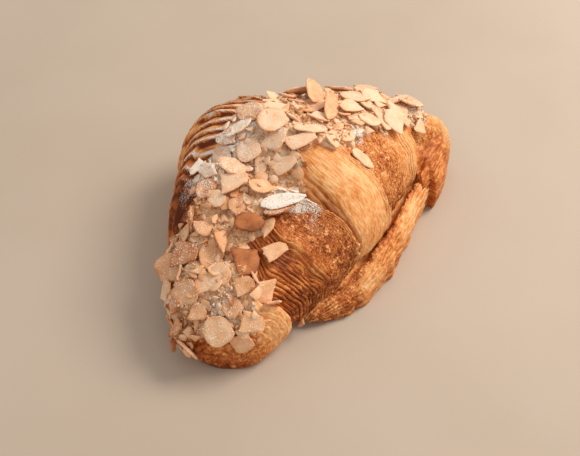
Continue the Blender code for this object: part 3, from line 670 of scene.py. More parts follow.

# %% [markdown]
# ## How brown, how rough and how sugared
# The oven and the sugar sieve treat each part of the croissant in their own way.  Three fields say
# so: how brown the crust is, how much it blistered and how much sugar fell there.  The brown field
# also carries painted shade, under the ledges of the outer flank and on its dark strip.  The fields
# are short tables across the wraps and soft spots at an angle, so that they are easy to change.

# %% The fields over the crust
BAKE_ACROSS = ((0.0, 0.64), (0.3, 0.58), (0.6, 0.30), (0.95, 0.16), (1.02, 0.82), (1.5, 0.82), (1.88, 0.80),
               (1.95, 0.72), (2.02, 0.64), (2.08, 0.64), (2.5, 0.64), (2.85, 0.58), (2.97, 0.44), (3.1, 0.50),
               (3.6, 0.34), (3.9, 0.30), (4.1, 0.24), (4.6, 0.20), (4.98, 0.26), (5.03, 0.60), (5.3, 0.54),
               (5.6, 0.46), (5.85, 0.20), (5.95, 0.40), (6.02, 0.50), (6.3, 0.42), (6.48, 0.22), (7.0, 0.36))
ROUGH_ACROSS = ((0.0, 0.3), (0.9, 0.2), (1.1, 0.3), (1.95, 0.3), (2.1, 0.7), (2.3, 1.0), (2.85, 1.0),
                (3.0, 0.5), (3.1, 0.1), (3.9, 0.1), (4.2, 0.15), (4.9, 0.2), (5.05, 0.9), (5.5, 1.0),
                (5.7, 0.35), (5.9, 0.2), (6.05, 0.8), (6.35, 0.8), (6.5, 0.2), (7.0, 0.3))
RIBS_ACROSS = ((0.0, 0.9), (0.3, 1.2), (0.8, 1.0), (1.0, 0.6), (1.1, 1.0), (2.0, 1.4), (2.04, 0.3),
               (2.85, 0.3), (2.95, 1.4), (3.0, 3.2), (3.75, 3.0), (4.0, 0.5), (4.15, 0.12), (4.8, 0.12), (4.93, 1.4),
               (5.05, 0.5), (5.6, 0.6), (5.8, 1.2), (6.0, 0.6), (6.4, 0.5), (6.6, 1.2), (7.0, 1.0))
SUGAR_SPOTS = (     # t, phi, spread in t, spread in degrees, amount
    (-0.41, 73, 0.05, 8, 0.95), (-0.35, 62, 0.06, 9, 0.95), (0.30, 68, 0.06, 7, 0.80),
    (0.88, 94, 0.07, 14, 0.45), (-0.20, 112, 0.20, 13, 0.58), (-0.40, 126, 0.12, 12, 0.52), (-1.04, 100, 0.09, 16, 0.45),
    (-0.43, 145, 0.13, 11, 0.72), (-0.80, 150, 0.25, 26, 0.20), (-0.44, 50, 0.12, 25, 0.45),
)
EDGE_LINES = (      # first and last place, place from one line to the next, strength
    (3.08, 3.98, 0.21, 1.0), (2.86, 3.00, 0.040, 0.7), (4.80, 5.00, 0.050, 0.8), (5.70, 5.97, 0.036, 0.6),
    (1.10, 1.94, 0.08, 0.5),
)
EDGE_LINE_RISE, EDGE_LINE_BAKE, EDGE_LINE_SWAY = 0.35 * MM, 0.20, 1.0
LEDGE_SPACING, LEDGE_DROP = 0.047, 1.3 * MM                         # in t, and in metres
LEDGE_SLANT, LEDGE_MIDDLE, LEDGE_SWAY = 0.0016, 120, 0.5            # t for every degree, degrees, share
LEDGE_NEAR, LEDGE_FAR = (-0.62, -0.40), (0.12, 0.40)                # t over which they fade in and out
LEDGE_LOW, LEDGE_HIGH = (112, 122), (178, 205)                      # degrees over which they do
LEDGE_BACK = (145, 180)                                             # degrees over which they turn away
OUTER_LOW, OUTER_HIGH = (118, 150), (215, 250)                      # degrees of the outer side, which is browner
LOW_SIDE = (68, 100)                                                # degrees away from the top
STRIP_T, STRIP_ANGLE, STRIP_BAKE_AND_SHADE = (-0.48, 0.15), (156, 13), 0.45   # the dark strip, darker crust with painted shade: middles, spreads and how much darker


def table(rows, value):
    """A table of (key, number) rows read at value."""
    return np.interp(value, *zip(*rows))


def sugar_field(t, phi):
    """How much sugar fell at t and phi."""
    degrees = np.degrees(phi)
    spots = sum(amount * bump(at, wide, t) * bump(angle, spread, degrees)
                for at, angle, wide, spread, amount in SUGAR_SPOTS)
    low, high = topping_limits(t)
    near = smooth(low - 14, low + 4, degrees) * (1 - smooth(high - 4, high + 16, degrees))
    return np.clip(spots + 0.22 * near, 0, 1)


def ledges(t, phi):
    """How far below the top of its ledge the flank is, from 0 to 1, and how plain the ledges are."""
    degrees = np.degrees(phi)
    spots = [Vector((a * 9, b * 2.5, 3)) for a, b in zip(np.ravel(t), np.ravel(phi))]
    sway = LEDGE_SWAY * np.reshape([noise.noise(spot) for spot in spots], np.shape(t))
    ramp = np.mod((t + LEDGE_SLANT * (degrees - LEDGE_MIDDLE)) / LEDGE_SPACING + sway, 1.0)
    plain = smooth(*LEDGE_NEAR, t) * (1 - smooth(*LEDGE_FAR, t))
    plain = plain * smooth(*LEDGE_LOW, degrees) * (1 - smooth(*LEDGE_HIGH, degrees))
    return ramp * (1 - smooth(0.90, 1.0, ramp)), plain


def edge_lines(place, phi):
    """Long ridges between -1 and 1 that run with the wraps, where their layers come to light."""
    spots = zip(np.ravel(place), np.ravel(phi))
    sway = np.reshape([noise.noise(Vector((a * 3, b * 3, 8))) for a, b in spots], np.shape(place))
    ridges = 0.0
    for first, last, step, strength in EDGE_LINES:
        border = (last - first) / 6
        inside = smooth(first, first + border, place) * (1 - smooth(last - border, last, place))
        turns = (place - first) / step + EDGE_LINE_SWAY * sway
        ridges = ridges + strength * inside * np.cos(math.tau * turns)
    return ridges


def torn(t, phi):
    """Where the dough is torn and dark: along the foot of the wraps, above the lip."""
    degrees = np.degrees(phi)
    return bump(-2, 15, degrees) * smooth(-0.95, -0.85, t) * (1 - 0.75 * smooth(-0.45, -0.2, t))


def fields(t, place, phi):
    """Every attribute of the crust at arrays of t, place and phi."""
    degrees = np.degrees(phi)
    outer = smooth(*OUTER_LOW, degrees) * (1 - smooth(*OUTER_HIGH, degrees))
    low = smooth(*LOW_SIDE, np.abs(degrees - 90)) * (degrees < 90)
    starts = np.concatenate([[0], np.cumsum(WRAP_WIDTHS)])
    ramp, plain = ledges(t, phi)
    rip = torn(t, phi)
    brown_and_shade = table(BAKE_ACROSS, place)
    brown_and_shade = brown_and_shade + 0.06 * low + outer * (0.26 - 0.10 * (place > 5)) * (1 - plain) + 0.04 * rip
    # Painted shade: every ledge on the outer flank is drawn darker towards its low end, at the foot of the step up
    # to the next ledge, and less so where the ledges turn to the back.
    back = smooth(*LEDGE_BACK, degrees)
    brown_and_shade = brown_and_shade + plain * ((0.80 - 0.40 * back) * smooth(0.42, 0.92, ramp) + 0.04)
    brown_and_shade = brown_and_shade - EDGE_LINE_BAKE * edge_lines(place, phi)
    # The dark strip on the outer flank: darker crust with painted shade over it.
    brown_and_shade = brown_and_shade + STRIP_BAKE_AND_SHADE * bump(*STRIP_T, t) * bump(*STRIP_ANGLE, degrees)
    dusted = plain * (1 - back) * smooth(-0.45, -0.28, t)
    sugar = sugar_field(t, phi) + dusted * (0.76 - 1.4 * smooth(0.20, 0.60, ramp))
    return {
        "across": np.interp(place, np.arange(8), starts),
        "along": phi * 34 * MM,
        "bake": np.clip(brown_and_shade, 0, 1),
        "rough": np.clip(table(ROUGH_ACROSS, place) * (1 - 0.5 * outer) + 1.2 * rip, 0, 1.5),
        "ribs": table(RIBS_ACROSS, place) * (1 - plain),
        "sugar": np.clip(sugar, 0, 1),
    }


sugar_there = [sugar_field(t, math.radians(angle)) for t, angle, *_ in SUGAR_SPOTS]
print("sugar at its spots:", np.round(sugar_there, 2))

# %% [markdown]
# ## The wraps
# Each wrap is a shell from its own skin.  At a free edge the skin turns under in a rim of two thin,
# ragged layers, so that it lies over the next wrap with a dark gap below, as flaky dough does.  At a
# hidden edge it is just tucked in.  The columns of rims and tucks sink below the skin by a given
# depth.  The layers tree then adds what is finer.

# %% Build the wraps
RIM = (     # place step and depth in millimetres of every column beyond the skin
    (0.004, 0.3), (0.0, 0.7), (-0.02, 0.9), (-0.02, 1.2), (0.022, 1.4), (0.024, 1.9),
    (-0.03, 2.3), (-0.07, 3.4), (-0.12, 8.0),
)
TUCK = ((0.02, 1.2), (0.03, 4.0), (0.03, 9.0))
WRAPS = {   # first and last place, columns, left and right edge, raggedness in mm, material, layer sizes
    "tip_near": (0.0, 1.0, 120, None, TUCK, 0.0, SMOOTH_CRUST,
                 dict(Layer_Width=2.3 * MM, Layer_Height=0.55 * MM, Blister_Height=0.5 * MM,
                      Waviness=1.3 * MM, Line_Height=0.16 * MM)),
    "ribbed_wall": (0.96, 2.02, 130, TUCK, TUCK, 0.0, RIBBED_CRUST,
                    dict(Layer_Width=1.7 * MM, Layer_Height=0.95 * MM, Waviness=0.35 * MM,
                         Line_Height=0.35 * MM, Blister_Height=0.25 * MM)),
    "wrap_near": (1.985, 2.995, 140, RIM, RIM, 1.2, ROUGH_CRUST,
                  dict(Layer_Width=2.4 * MM, Layer_Height=0.4 * MM, Line_Height=0.10 * MM, Line_Length=4 * MM,
                       Blister_Size=1.1 * MM, Blister_Height=0.36 * MM)),
    "wrap_middle": (3.02, 4.99, 220, TUCK, RIM, 1.4, SMOOTH_CRUST,
                    dict(Layer_Width=2.2 * MM, Layer_Height=0.3 * MM, Line_Width=0.9 * MM,
                         Line_Height=0.18 * MM, Line_Length=6 * MM, Blister_Height=0.8 * MM, Waviness=0.3 * MM)),
    "wrap_far": (4.93, 5.97, 200, TUCK, RIM, 0.9, ROUGH_CRUST,
                 dict(Layer_Width=2.1 * MM, Layer_Height=0.35 * MM, Line_Width=0.9 * MM,
                      Line_Height=0.20 * MM, Line_Length=5 * MM, Blister_Size=1.3 * MM,
                      Blister_Height=0.40 * MM, Waviness=0.4 * MM)),
    "tip_far": (5.985, 7.0, 110, TUCK, None, 0.0, ROUGH_CRUST,
                dict(Layer_Width=2.4 * MM, Layer_Height=0.35 * MM, Blister_Size=1.2 * MM,
                     Blister_Height=0.55 * MM)),
}
ROWS = 400
FOOT_EDGE, FOOT_FRAY, FOOT_ROUNDING, FOOT_TUCK = 18 * MM, 1.6 * MM, 1.2 * MM, 4.0 * MM
FOOT_NEAR, FOOT_FAR = (-0.32, -0.18), (0.80, 0.88)      # t over which the torn edge starts and ends
DEFAULT_SIZES = dict(Layer_Width=2 * MM, Layer_Height=0.3 * MM, Line_Width=0.6 * MM, Line_Height=0.12 * MM,
                     Line_Length=9 * MM, Blister_Size=2 * MM, Blister_Height=0.3 * MM, Waviness=1.5 * MM)


def held_profile(first, last, right):
    """The profile, without the steps at the wrap's own edges where its free rim has to stay up."""
    if right is not RIM:
        return PROFILE
    return tuple((place, height) for place, height in PROFILE if first + 0.02 < place < last - 0.005)


def edge_columns(first, last, count, left, right):
    """Places of a wrap's columns and their depths below the skin."""
    skin = np.linspace(first, last, count)
    if left is None:
        skin = skin[1:]
    if right is None:
        skin = skin[:-1]
    before = [(skin[0] - step, depth) for step, depth in reversed(left or ())]
    after = [(skin[-1] + step, depth) for step, depth in right or ()]
    places, depths = np.array(before + [(place, 0.0) for place in skin] + after).T
    return np.clip(places, 0.0, 7.0), depths * MM


def foot_tuck(t, phi):
    """How far the wraps draw in below their torn lower edge, where the lip lies against them."""
    fray = [noise.noise(Vector((value * 14, 2, 5))) + 0.6 * noise.noise(Vector((value * 45, 2, 5)))
            for value in np.ravel(t)]
    edge = FOOT_EDGE + FOOT_FRAY * np.reshape(fray, np.shape(t))
    height = section(t, phi)[1]
    tucked = 1 - smooth(edge - FOOT_ROUNDING, edge, height)
    reach = smooth(*FOOT_NEAR, t) * (1 - smooth(*FOOT_FAR, t)) * (np.cos(phi) > 0)
    return FOOT_TUCK * tucked * reach


def wrap_piece(name, first, last, count, left, right, ragged, material, sizes):
    """One wrap of the roll as a closed shell with its fine layers."""
    places, depths = edge_columns(first, last, count, left, right)
    phi = around(ROWS)
    place, angle = np.meshgrid(places, phi, indexing="ij")
    t = place_to_t(place, angle)
    fray = smooth(last - 0.10, last, place) if right is RIM else 0.0
    t = t + ragged * MM / (SPINE_LENGTH / 2) * wavy(phi, 9, first)[None, :] * fray
    ramp, plain = ledges(t, angle)
    rise = -depths[:, None] - LEDGE_DROP * ramp * plain - foot_tuck(t, angle)
    rise = rise + EDGE_LINE_RISE * edge_lines(place, angle) * (1 - plain) * (depths[:, None] == 0)
    rings = crust_points(t, place, angle, held_profile(first, last, right), cream=0.55, rise=rise)
    values = fields(t, place, angle)
    values["skin"] = (depths[:, None] == 0) * smooth(-0.55, 0.1, np.sin(angle))
    ends = [ring.mean(0) for ring in (rings[0], rings[-1])]
    thing = bake(shell(name, rings, values, ends), LAYERS, Material=material, **{**DEFAULT_SIZES, **sizes})
    print(name, count_triangles(thing), "triangles")
    return thing


crust_pieces = [wrap_piece(name, *facts) for name, facts in WRAPS.items()]

# %% [markdown]
# ## The lower lip
# Along the hollow side the last layer of dough runs on below the wraps and stands out as a thick lip.
# It is swept: rings of the same squarish section, set along the foot of the roll, that sink towards
# the wraps so that a dark slit stays between.  At the far tip the end of the dough stands out further,
# as a piece of its own that the lip's blunt, torn end leans against.

# %% Sweep the lip
LIP_START, LIP_END, LIP_NOTCH = -0.78, 1.10, 0.905
LIP_OUTWARD, LIP_UPWARD, LIP_MIDDLE_HEIGHT = 12.6 * MM, 13.0 * MM, 6.5 * MM
LIP_INSET, LIP_SQUARENESS, LIP_LOW_END, LIP_RISE = 2.5 * MM, 0.75, 0.55, (-0.70, 0.05)
LIP_END_POWER, LIP_END_SHARE, LIP_WAVE, LIP_WAVES, LIP_WAVE_SHIFT = 6, 0.02, 0.10, 9, 4
LIP_BLUNT_END = 0.05
TIP_SIDE_START, TIP_SIDE_END = 0.80, 1.13
TIP_SIDE_REACH, TIP_SIDE_STEP, TIP_SIDE_SWELL = 0.92, (0.885, 0.925), 0.42
TIP_SIDE_CLIMB, TIP_SIDE_RISE, TIP_SIDE_END_POWER, TIP_SIDE_LEAN = (0.90, 1.04), 0.12, 12, 0.6
SLIT_DEPTH, SLIT_MIDDLE, SLIT_SPREAD = 5.5 * MM, 0.9 * MM, 2.0 * MM     # beside the wraps
SLIT_NEAR, SLIT_FAR = (-0.36, -0.20), (0.84, 0.90)                       # t over which it starts and ends
TORN_RIM, TORN_RIM_AT, TORN_RIM_SPREAD = 1.1 * MM, 3.6 * MM, 1.3 * MM


def sweep_rings(t, turn, reach, rise, swell, lean):
    """Points of the lip, and how far they stand out from the widest line of the wraps."""
    foot = half_sizes(t)[0] - LIP_INSET
    across, upward = np.cos(turn), np.sin(turn)
    spots = zip(np.ravel(t * LIP_WAVES), np.ravel(across), np.ravel(upward + LIP_WAVE_SHIFT))
    waves = np.reshape([noise.noise(Vector(spot)) for spot in spots], np.shape(t))
    wave = swell * (1 + LIP_WAVE * waves)
    offset = foot + LIP_OUTWARD * reach * wave * np.sign(across) * np.abs(across) ** LIP_SQUARENESS
    height = rise * (LIP_MIDDLE_HEIGHT + LIP_UPWARD * wave * np.sign(upward) * np.abs(upward) ** LIP_SQUARENESS)
    height = height * (1 + lean * (1 - across) / 2)
    out = offset - foot - LIP_INSET
    frays = [noise.noise(Vector((value * 19, angle * 2, 6))) + 0.3 * noise.noise(Vector((value * 47, 1, 6)))
             for value, angle in zip(np.ravel(t), np.ravel(turn))]
    frays = np.reshape(frays, np.shape(t))
    slit = smooth(*SLIT_NEAR, t) * (1 - smooth(*SLIT_FAR, t)) * (upward > 0)
    height = height - slit * SLIT_DEPTH * bump(SLIT_MIDDLE, SLIT_SPREAD, out)
    height = height + slit * TORN_RIM * (0.3 + frays) * bump(TORN_RIM_AT, TORN_RIM_SPREAD, out)
    x, y, out_x, out_y = spine(t)
    return np.stack([x - out_x * offset, y - out_y * offset, np.maximum(height, 0.0)], -1) + TO_MODEL, out


def swept_piece(name, t, rows, reach, rise, swell, lean, looks, material, sizes):
    """A swept piece with lengthwise layers: reach, rise and swell are given for every t."""
    turn = np.arange(rows) / rows * 2 * math.pi
    grid, turn = np.meshgrid(t, turn, indexing="ij")
    rings, out = sweep_rings(grid, turn, reach[:, None], rise[:, None], swell[:, None], lean)
    values = {"across": turn * 12 * MM, "along": grid * SPINE_LENGTH / 2, "sugar": 0 * grid,
              "skin": smooth(-0.6, -0.1, np.sin(turn)), **looks(grid, turn, out)}
    thing = shell(name, rings, values, [rings[0].mean(0), rings[-1].mean(0)])
    bake(thing, LAYERS, Material=material, **{**DEFAULT_SIZES, **sizes})
    print(name, count_triangles(thing), "triangles")
    return thing


def lip_looks(t, turn, out):
    """How brown, rough and ribbed the lip is, with painted shade along its upper rim."""
    near = 1 - smooth(-0.52, -0.34, t)
    rim = bump(3.5 * MM, 2.2 * MM, out) * (np.sin(turn) > 0) * (1 - near)
    below = 1 - smooth(-0.35, 0.35, np.sin(turn))
    # The upper rim beside the slit is browner: torn dough, with painted shade of the slit over it.
    brown_and_shade = 0.26 + 0.17 * bump(0.05, 0.35, t) + 0.20 * below + 0.32 * near + 0.30 * rim
    return {"bake": brown_and_shade, "rough": 0.25 + 0.7 * near + 0.9 * rim, "ribs": 1 + 0.8 * near - 0.6 * rim}


def tip_side_looks(t, turn, out):
    """The end of the dough at the far tip is browner."""
    return {"bake": 0.60 + 0 * t, "rough": 0.45 + 0 * t, "ribs": 0.6 + 0 * t}


def lip_pieces():
    """The lip and the end of the dough at the far tip."""
    t = np.linspace(LIP_START, LIP_NOTCH, 500)
    share = (t - LIP_START) / (LIP_END - LIP_START)
    swell = np.sqrt(np.maximum(0, 1 - (2 * share - 1) ** LIP_END_POWER)) + LIP_END_SHARE
    blunt = np.clip((t - LIP_NOTCH + LIP_BLUNT_END) / LIP_BLUNT_END, 0, 1)
    rise = LIP_LOW_END + (1 - LIP_LOW_END) * smooth(*LIP_RISE, t)
    swell = swell * np.sqrt(1.02 - blunt ** 3)
    lip = swept_piece("base_lip", t, 150, np.ones_like(t), rise, swell, 0.0, lip_looks,
                      SMOOTH_CRUST, dict(Layer_Width=3.0 * MM, Layer_Height=0.6 * MM, Line_Height=0.16 * MM,
                                         Waviness=0.9 * MM, Blister_Height=0.8 * MM))
    t = np.linspace(TIP_SIDE_START, TIP_SIDE_END, 130)
    share = (t - LIP_START) / (TIP_SIDE_END - LIP_START)
    swell = np.sqrt(np.maximum(0, 1 - (2 * share - 1) ** TIP_SIDE_END_POWER)) + LIP_END_SHARE
    reach = TIP_SIDE_REACH + TIP_SIDE_SWELL * smooth(*TIP_SIDE_STEP, t)
    rise = 1 + TIP_SIDE_RISE * smooth(*TIP_SIDE_CLIMB, t)
    side = swept_piece("tip_side", t, 150, reach, rise, swell, TIP_SIDE_LEAN, tip_side_looks,
                       SMOOTH_CRUST, dict(Layer_Width=2.6 * MM, Layer_Height=0.4 * MM))
    return [lip, side]


crust_pieces += lip_pieces()

# %% [markdown]
# ## The almond cream
# The cream spread on top bakes into a thin, lumpy layer that holds the flakes.  It is a closed sheet:
# its upper side follows the crust with lumps, and at its ragged border it dives into the crust.

# %% Spread the cream
CREAM_COLUMNS, CREAM_ROWS, CREAM_RAGGED = 340, 140, 7


def cream_piece():
    """The layer of almond cream as a closed sheet on the crust."""
    t = np.linspace(-1.13, TOPPING_END + 0.06, CREAM_COLUMNS)
    low, high = topping_limits(t)
    low = low - 4 + CREAM_RAGGED * np.array([noise.noise(Vector((value * 12, 0, 1))) * 2 for value in t])
    high = high - 1 + CREAM_RAGGED * np.array([noise.noise(Vector((value * 12, 5, 1))) * 2 for value in t])
    share = np.linspace(0, 1, CREAM_ROWS)
    phi = np.radians(low[:, None] + (high - low)[:, None] * share[None, :])
    t = np.repeat(t[:, None], CREAM_ROWS, 1)
    place = t_to_place(t, phi)
    inner = smooth(0, 0.07, share) * (1 - smooth(0.93, 1, share))
    inner = inner[None, :] * smooth(-1.13, -1.10, t) * (1 - smooth(TOPPING_END, TOPPING_END + 0.06, t))
    top = crust_points(t, place, phi, cream=1.0, rise=(2.5 * inner - 1.0) * MM)
    below = crust_points(t, place, phi, rise=-3.2 * MM)
    rings = np.concatenate([top, below[:, ::2][:, ::-1]], 1)
    values = fields(t, place, phi)
    # The cream is browner on the outer side, and darker towards the near tip, which is painted shade.
    values["bake"] = 0.12 + 0.16 * smooth(105, 150, np.degrees(phi)) + 0.18 * (1 - smooth(-0.6, -0.3, t))
    values["rough"] = inner
    values["skin"] = inner
    values["ribs"] = 0 * t
    values["sugar"] = np.clip(values["sugar"] + 0.2, 0, 1)
    values = {label: np.concatenate([value, value[:, ::-2] * (label != "skin")], 1)
              for label, value in values.items()}
    thing = shell("almond_cream", rings, values, [rings[0].mean(0), rings[-1].mean(0)])
    sizes = dict(Layer_Height=0.0, Line_Height=0.0, Blister_Size=2.2 * MM, Blister_Height=1.3 * MM)
    return bake(thing, LAYERS, Material=CREAM, **{**DEFAULT_SIZES, **sizes})


cream = cream_piece()
print("cream:", count_triangles(cream), "triangles")

# %% [markdown]
# ## Flaked almonds
# An almond flake is a slice about a millimetre thick: oval or drop-shaped, often with a broken edge,
# and slightly curled.  A few shapes with broken edges are modelled once.  Geometry Nodes then sets
# them on points that carry the turn, the size and the toast of every flake.

# %% Shapes of flakes
FLAKE_SHAPES = (    # taper, squareness, raggedness, breaks: each a direction in degrees and a distance
    (0.10, 1.0, 0.06, ((200, 0.42),)), (0.28, 1.0, 0.07, ((75, 0.40),)),
    (0.34, 0.9, 0.08, ((8, 0.24), (60, 0.40))), (0.15, 0.75, 0.08, ((0, 0.32), (110, 0.38))), (0.25, 1.0, 0.07, ((-10, 0.12), (100, 0.42))),
    (0.05, 0.6, 0.09, ((10, 0.36), (-100, 0.40))), (0.40, 1.0, 0.06, ((160, 0.44),)),
    (0.20, 0.85, 0.08, ((5, 0.04), (150, 0.36))), (0.30, 1.0, 0.12, ((35, 0.25), (-50, 0.30), (180, 0.40))),
    (0.10, 1.0, 0.14, ((120, 0.22), (-80, 0.36))), (0.25, 0.9, 0.12, ((-30, 0.18), (90, 0.30), (210, 0.38))),
)
FLAKE_RIM, FLAKE_RINGS = 26, (0.4, 0.78, 0.94, 1.0)
SHARD_RIM, SHARD_RINGS = 12, (0.9, 1.0)
FLAKE_CURL, FLAKE_LUMP = 0.10, 0.35
ROUND, OVAL, HOOK, BLOCK, HALF, SQUARE, DROP, SHARD = range(8)


def flake_outline(number, rim_points, taper, squareness, ragged, breaks):
    """The outline of a flake of length and width 1, as an array of (x, y)."""
    points = []
    for i in range(rim_points):
        angle = math.tau * i / rim_points
        x = math.copysign(abs(math.cos(angle)) ** squareness, math.cos(angle)) / 2
        y = math.copysign(abs(math.sin(angle)) ** squareness, math.sin(angle)) / 2
        spot = Vector((1.5 * math.cos(angle), 1.5 * math.sin(angle), number * 3.7))
        size = 1 + ragged * (noise.noise(spot) * 2 + noise.noise(spot * 4))
        points.append([x * size, y * size * (1 + 2 * taper * x)])
    points = np.array(points)
    for turn, distance in breaks:
        way = np.array((math.cos(math.radians(turn)), math.sin(math.radians(turn))))
        side = points @ np.array((-way[1], way[0]))
        rough = np.array([noise.noise(Vector((value * 7, number, turn))) for value in side])
        beyond = np.maximum(points @ way - distance - 0.6 * ragged * rough, 0)
        points = points - beyond[:, None] * way
    return points


def flake_shape(number, thickness, rim_points, shares, facts):
    """A slice of almond with rounded rims, curled and uneven, of length and width 1."""
    outline = flake_outline(number, rim_points, *facts)
    middle = outline.mean(0)
    bm = bmesh.new()
    rim = bm.verts.layers.float.new("rim")
    sides = []
    for side in (1, -1):
        centre = bm.verts.new((*middle, side * thickness / 2))
        rings = []
        for share in shares:
            ring = []
            for x, y in middle + (outline - middle) * share:
                lump = FLAKE_LUMP * noise.noise(Vector((x * 4, y * 4, number + 9)))
                high = side * thickness / 2 * (1 - 0.6 * smooth(0.86, 1.0, share)) + thickness * lump
                ring.append(bm.verts.new((x, y, high + FLAKE_CURL * (x * x + y * y))))
                ring[-1][rim] = share
            rings.append(ring)
        for j in range(rim_points):
            bm.faces.new((centre, rings[0][j - 1], rings[0][j]))
            for inner, outer in zip(rings, rings[1:]):
                bm.faces.new((inner[j - 1], outer[j - 1], outer[j], inner[j]))
        sides.append(rings[-1])
    for j in range(rim_points):
        bm.faces.new((sides[0][j - 1], sides[1][j - 1], sides[1][j], sides[0][j]))
    bmesh.ops.recalc_face_normals(bm, faces=bm.faces)
    mesh = bpy.data.meshes.new(f"flake_shape_{number}")
    bm.to_mesh(mesh)
    bm.free()
    mesh.shade_smooth()
    return mesh


def shape_collection(name, meshes):
    """A collection outside the scene that holds one object for each mesh."""
    made = bpy.data.collections.new(name)
    for number, mesh in enumerate(meshes):
        made.objects.link(bpy.data.objects.new(f"{name}_{number:02d}", mesh))
    return made


def almond_shapes(name, rim_points, shares):
    """All the shapes, at a given fineness."""
    return shape_collection(name, [flake_shape(number, SHAPE_THICKNESS, rim_points, shares, facts)
                                   for number, facts in enumerate(FLAKE_SHAPES)])


FLAKE_THICKNESS, SHAPE_THICKNESS = 1.1 * MM, 0.1
flake_shapes = almond_shapes("flake_shape", FLAKE_RIM, FLAKE_RINGS)
shard_shapes = almond_shapes("shard_shape", SHARD_RIM, SHARD_RINGS)

# %% [markdown]
# ## Setting shapes on points
# Copying hundreds of flakes by hand would be slow and hard to change.  A Geometry Nodes tree reads
# which shape, turn and size each point carries, sets an instance there and makes it real geometry.

# %% A Geometry Nodes tree that sets shapes on points
def setting_tree():
    """The tree that puts one of a collection's shapes on every point."""
    inputs = {"Geometry": (GEOMETRY, None), "Shapes": (COLLECTION, None), "Material": (MATERIAL, None)}
    tree, given, result = new_group("set on points", "GeometryNodeTree", inputs, {"Geometry": GEOMETRY})
    shapes = put(tree, "GeometryNodeCollectionInfo", {
        "Collection": given["Shapes"], "Separate Children": True, "Reset Children": True})
    turn = put(tree, "GeometryNodeInputNamedAttribute", {"Name": "turn"}, data_type="FLOAT_VECTOR")
    size = put(tree, "GeometryNodeInputNamedAttribute", {"Name": "size"}, data_type="FLOAT_VECTOR")
    which = put(tree, "GeometryNodeInputNamedAttribute", {"Name": "shape"}, data_type="INT")
    placed = put(tree, "GeometryNodeInstanceOnPoints", {
        "Points": given["Geometry"], "Instance": shapes, "Pick Instance": True, "Instance Index": which,
        "Rotation": put(tree, "FunctionNodeEulerToRotation", {0: turn}), "Scale": size})
    real = put(tree, "GeometryNodeRealizeInstances", {"Geometry": placed})
    done = put(tree, "GeometryNodeSetMaterial", {"Geometry": real, "Material": given["Material"]})
    tree.links.new(done, result["Geometry"])
    return tree


def points_mesh(name, spots, numbers):
    """A mesh of loose points: spots are (matrix, size, shape), numbers are further float values."""
    mesh = bpy.data.meshes.new(name)
    mesh.from_pydata([place.translation[:] for place, _, _ in spots], [], [])
    turns = np.array([place.to_euler()[:] for place, _, _ in spots]).ravel()
    mesh.attributes.new("turn", "FLOAT_VECTOR", "POINT").data.foreach_set("vector", turns)
    sizes = np.array([size for _, size, _ in spots]).ravel()
    mesh.attributes.new("size", "FLOAT_VECTOR", "POINT").data.foreach_set("vector", sizes)
    mesh.attributes.new("shape", "INT", "POINT").data.foreach_set("value", [shape for _, _, shape in spots])
    for label, values in numbers.items():
        mesh.attributes.new(label, "FLOAT", "POINT").data.foreach_set("value", values)
    return mesh


SETTING = setting_tree()
print("set on points has", len(SETTING.nodes), "nodes")

# %% [markdown]
# ## Where the flakes lie
# The leading flakes are placed one by one, because they give this croissant its face: the round ones
# in a row, the browned pair, the ones that stand on edge.  The rest fall at random, never too close
# to one another or to a leading one.  They are laid by size, the leading ones last, and a flake that
# meets others is lifted on to them.  The browned pair is raised further, so that both show whole.

# %% Place the flakes
SEED, FLAKE_TRIES, FLAKE_SPACING = 21, 2600, 5.8 * MM
SHORTEST_FLAKE, LONGEST_FLAKE = 8 * MM, 15 * MM
NARROWEST_FLAKE, WIDEST_FLAKE, FLAKE_TILT = 0.58, 0.90, (0, 34, 7)
FLAKE_RAISE, STACK_REACH, STACK_STEP, STACK_LIMIT = 0.8 * MM, 0.6, 0.8 * MM, 2
FRAME_STEP, TILT_LIFT, BROWNED_RAISE = 0.02, 0.6, 2.2 * MM
LEADING_SPACING, BROWNED_SPACING = 7.4 * MM, 10.5 * MM
# Flakes nearer than SHADED_END take SHADED_TOAST more toast, which is painted shade.
FLAKE_SUGAR, SHADED_TOAST, SHADED_END = 0.36, 0.10, -0.4
BROWNED, SUGAR_IN_SPOTS = 0.5, 0.8      # a flake toasted more than this is a browned one
SHARD_TRIES, SHARD_SPACING, SHARD_THICKNESS = 5000, 3.9 * MM, 0.9 * MM
SHORTEST_SHARD, LONGEST_SHARD = 3 * MM, 7 * MM
FLAKE_TOASTS = (0.04, 0.08, 0.12, 0.16, 0.20, 0.24, 0.30, 0.38)
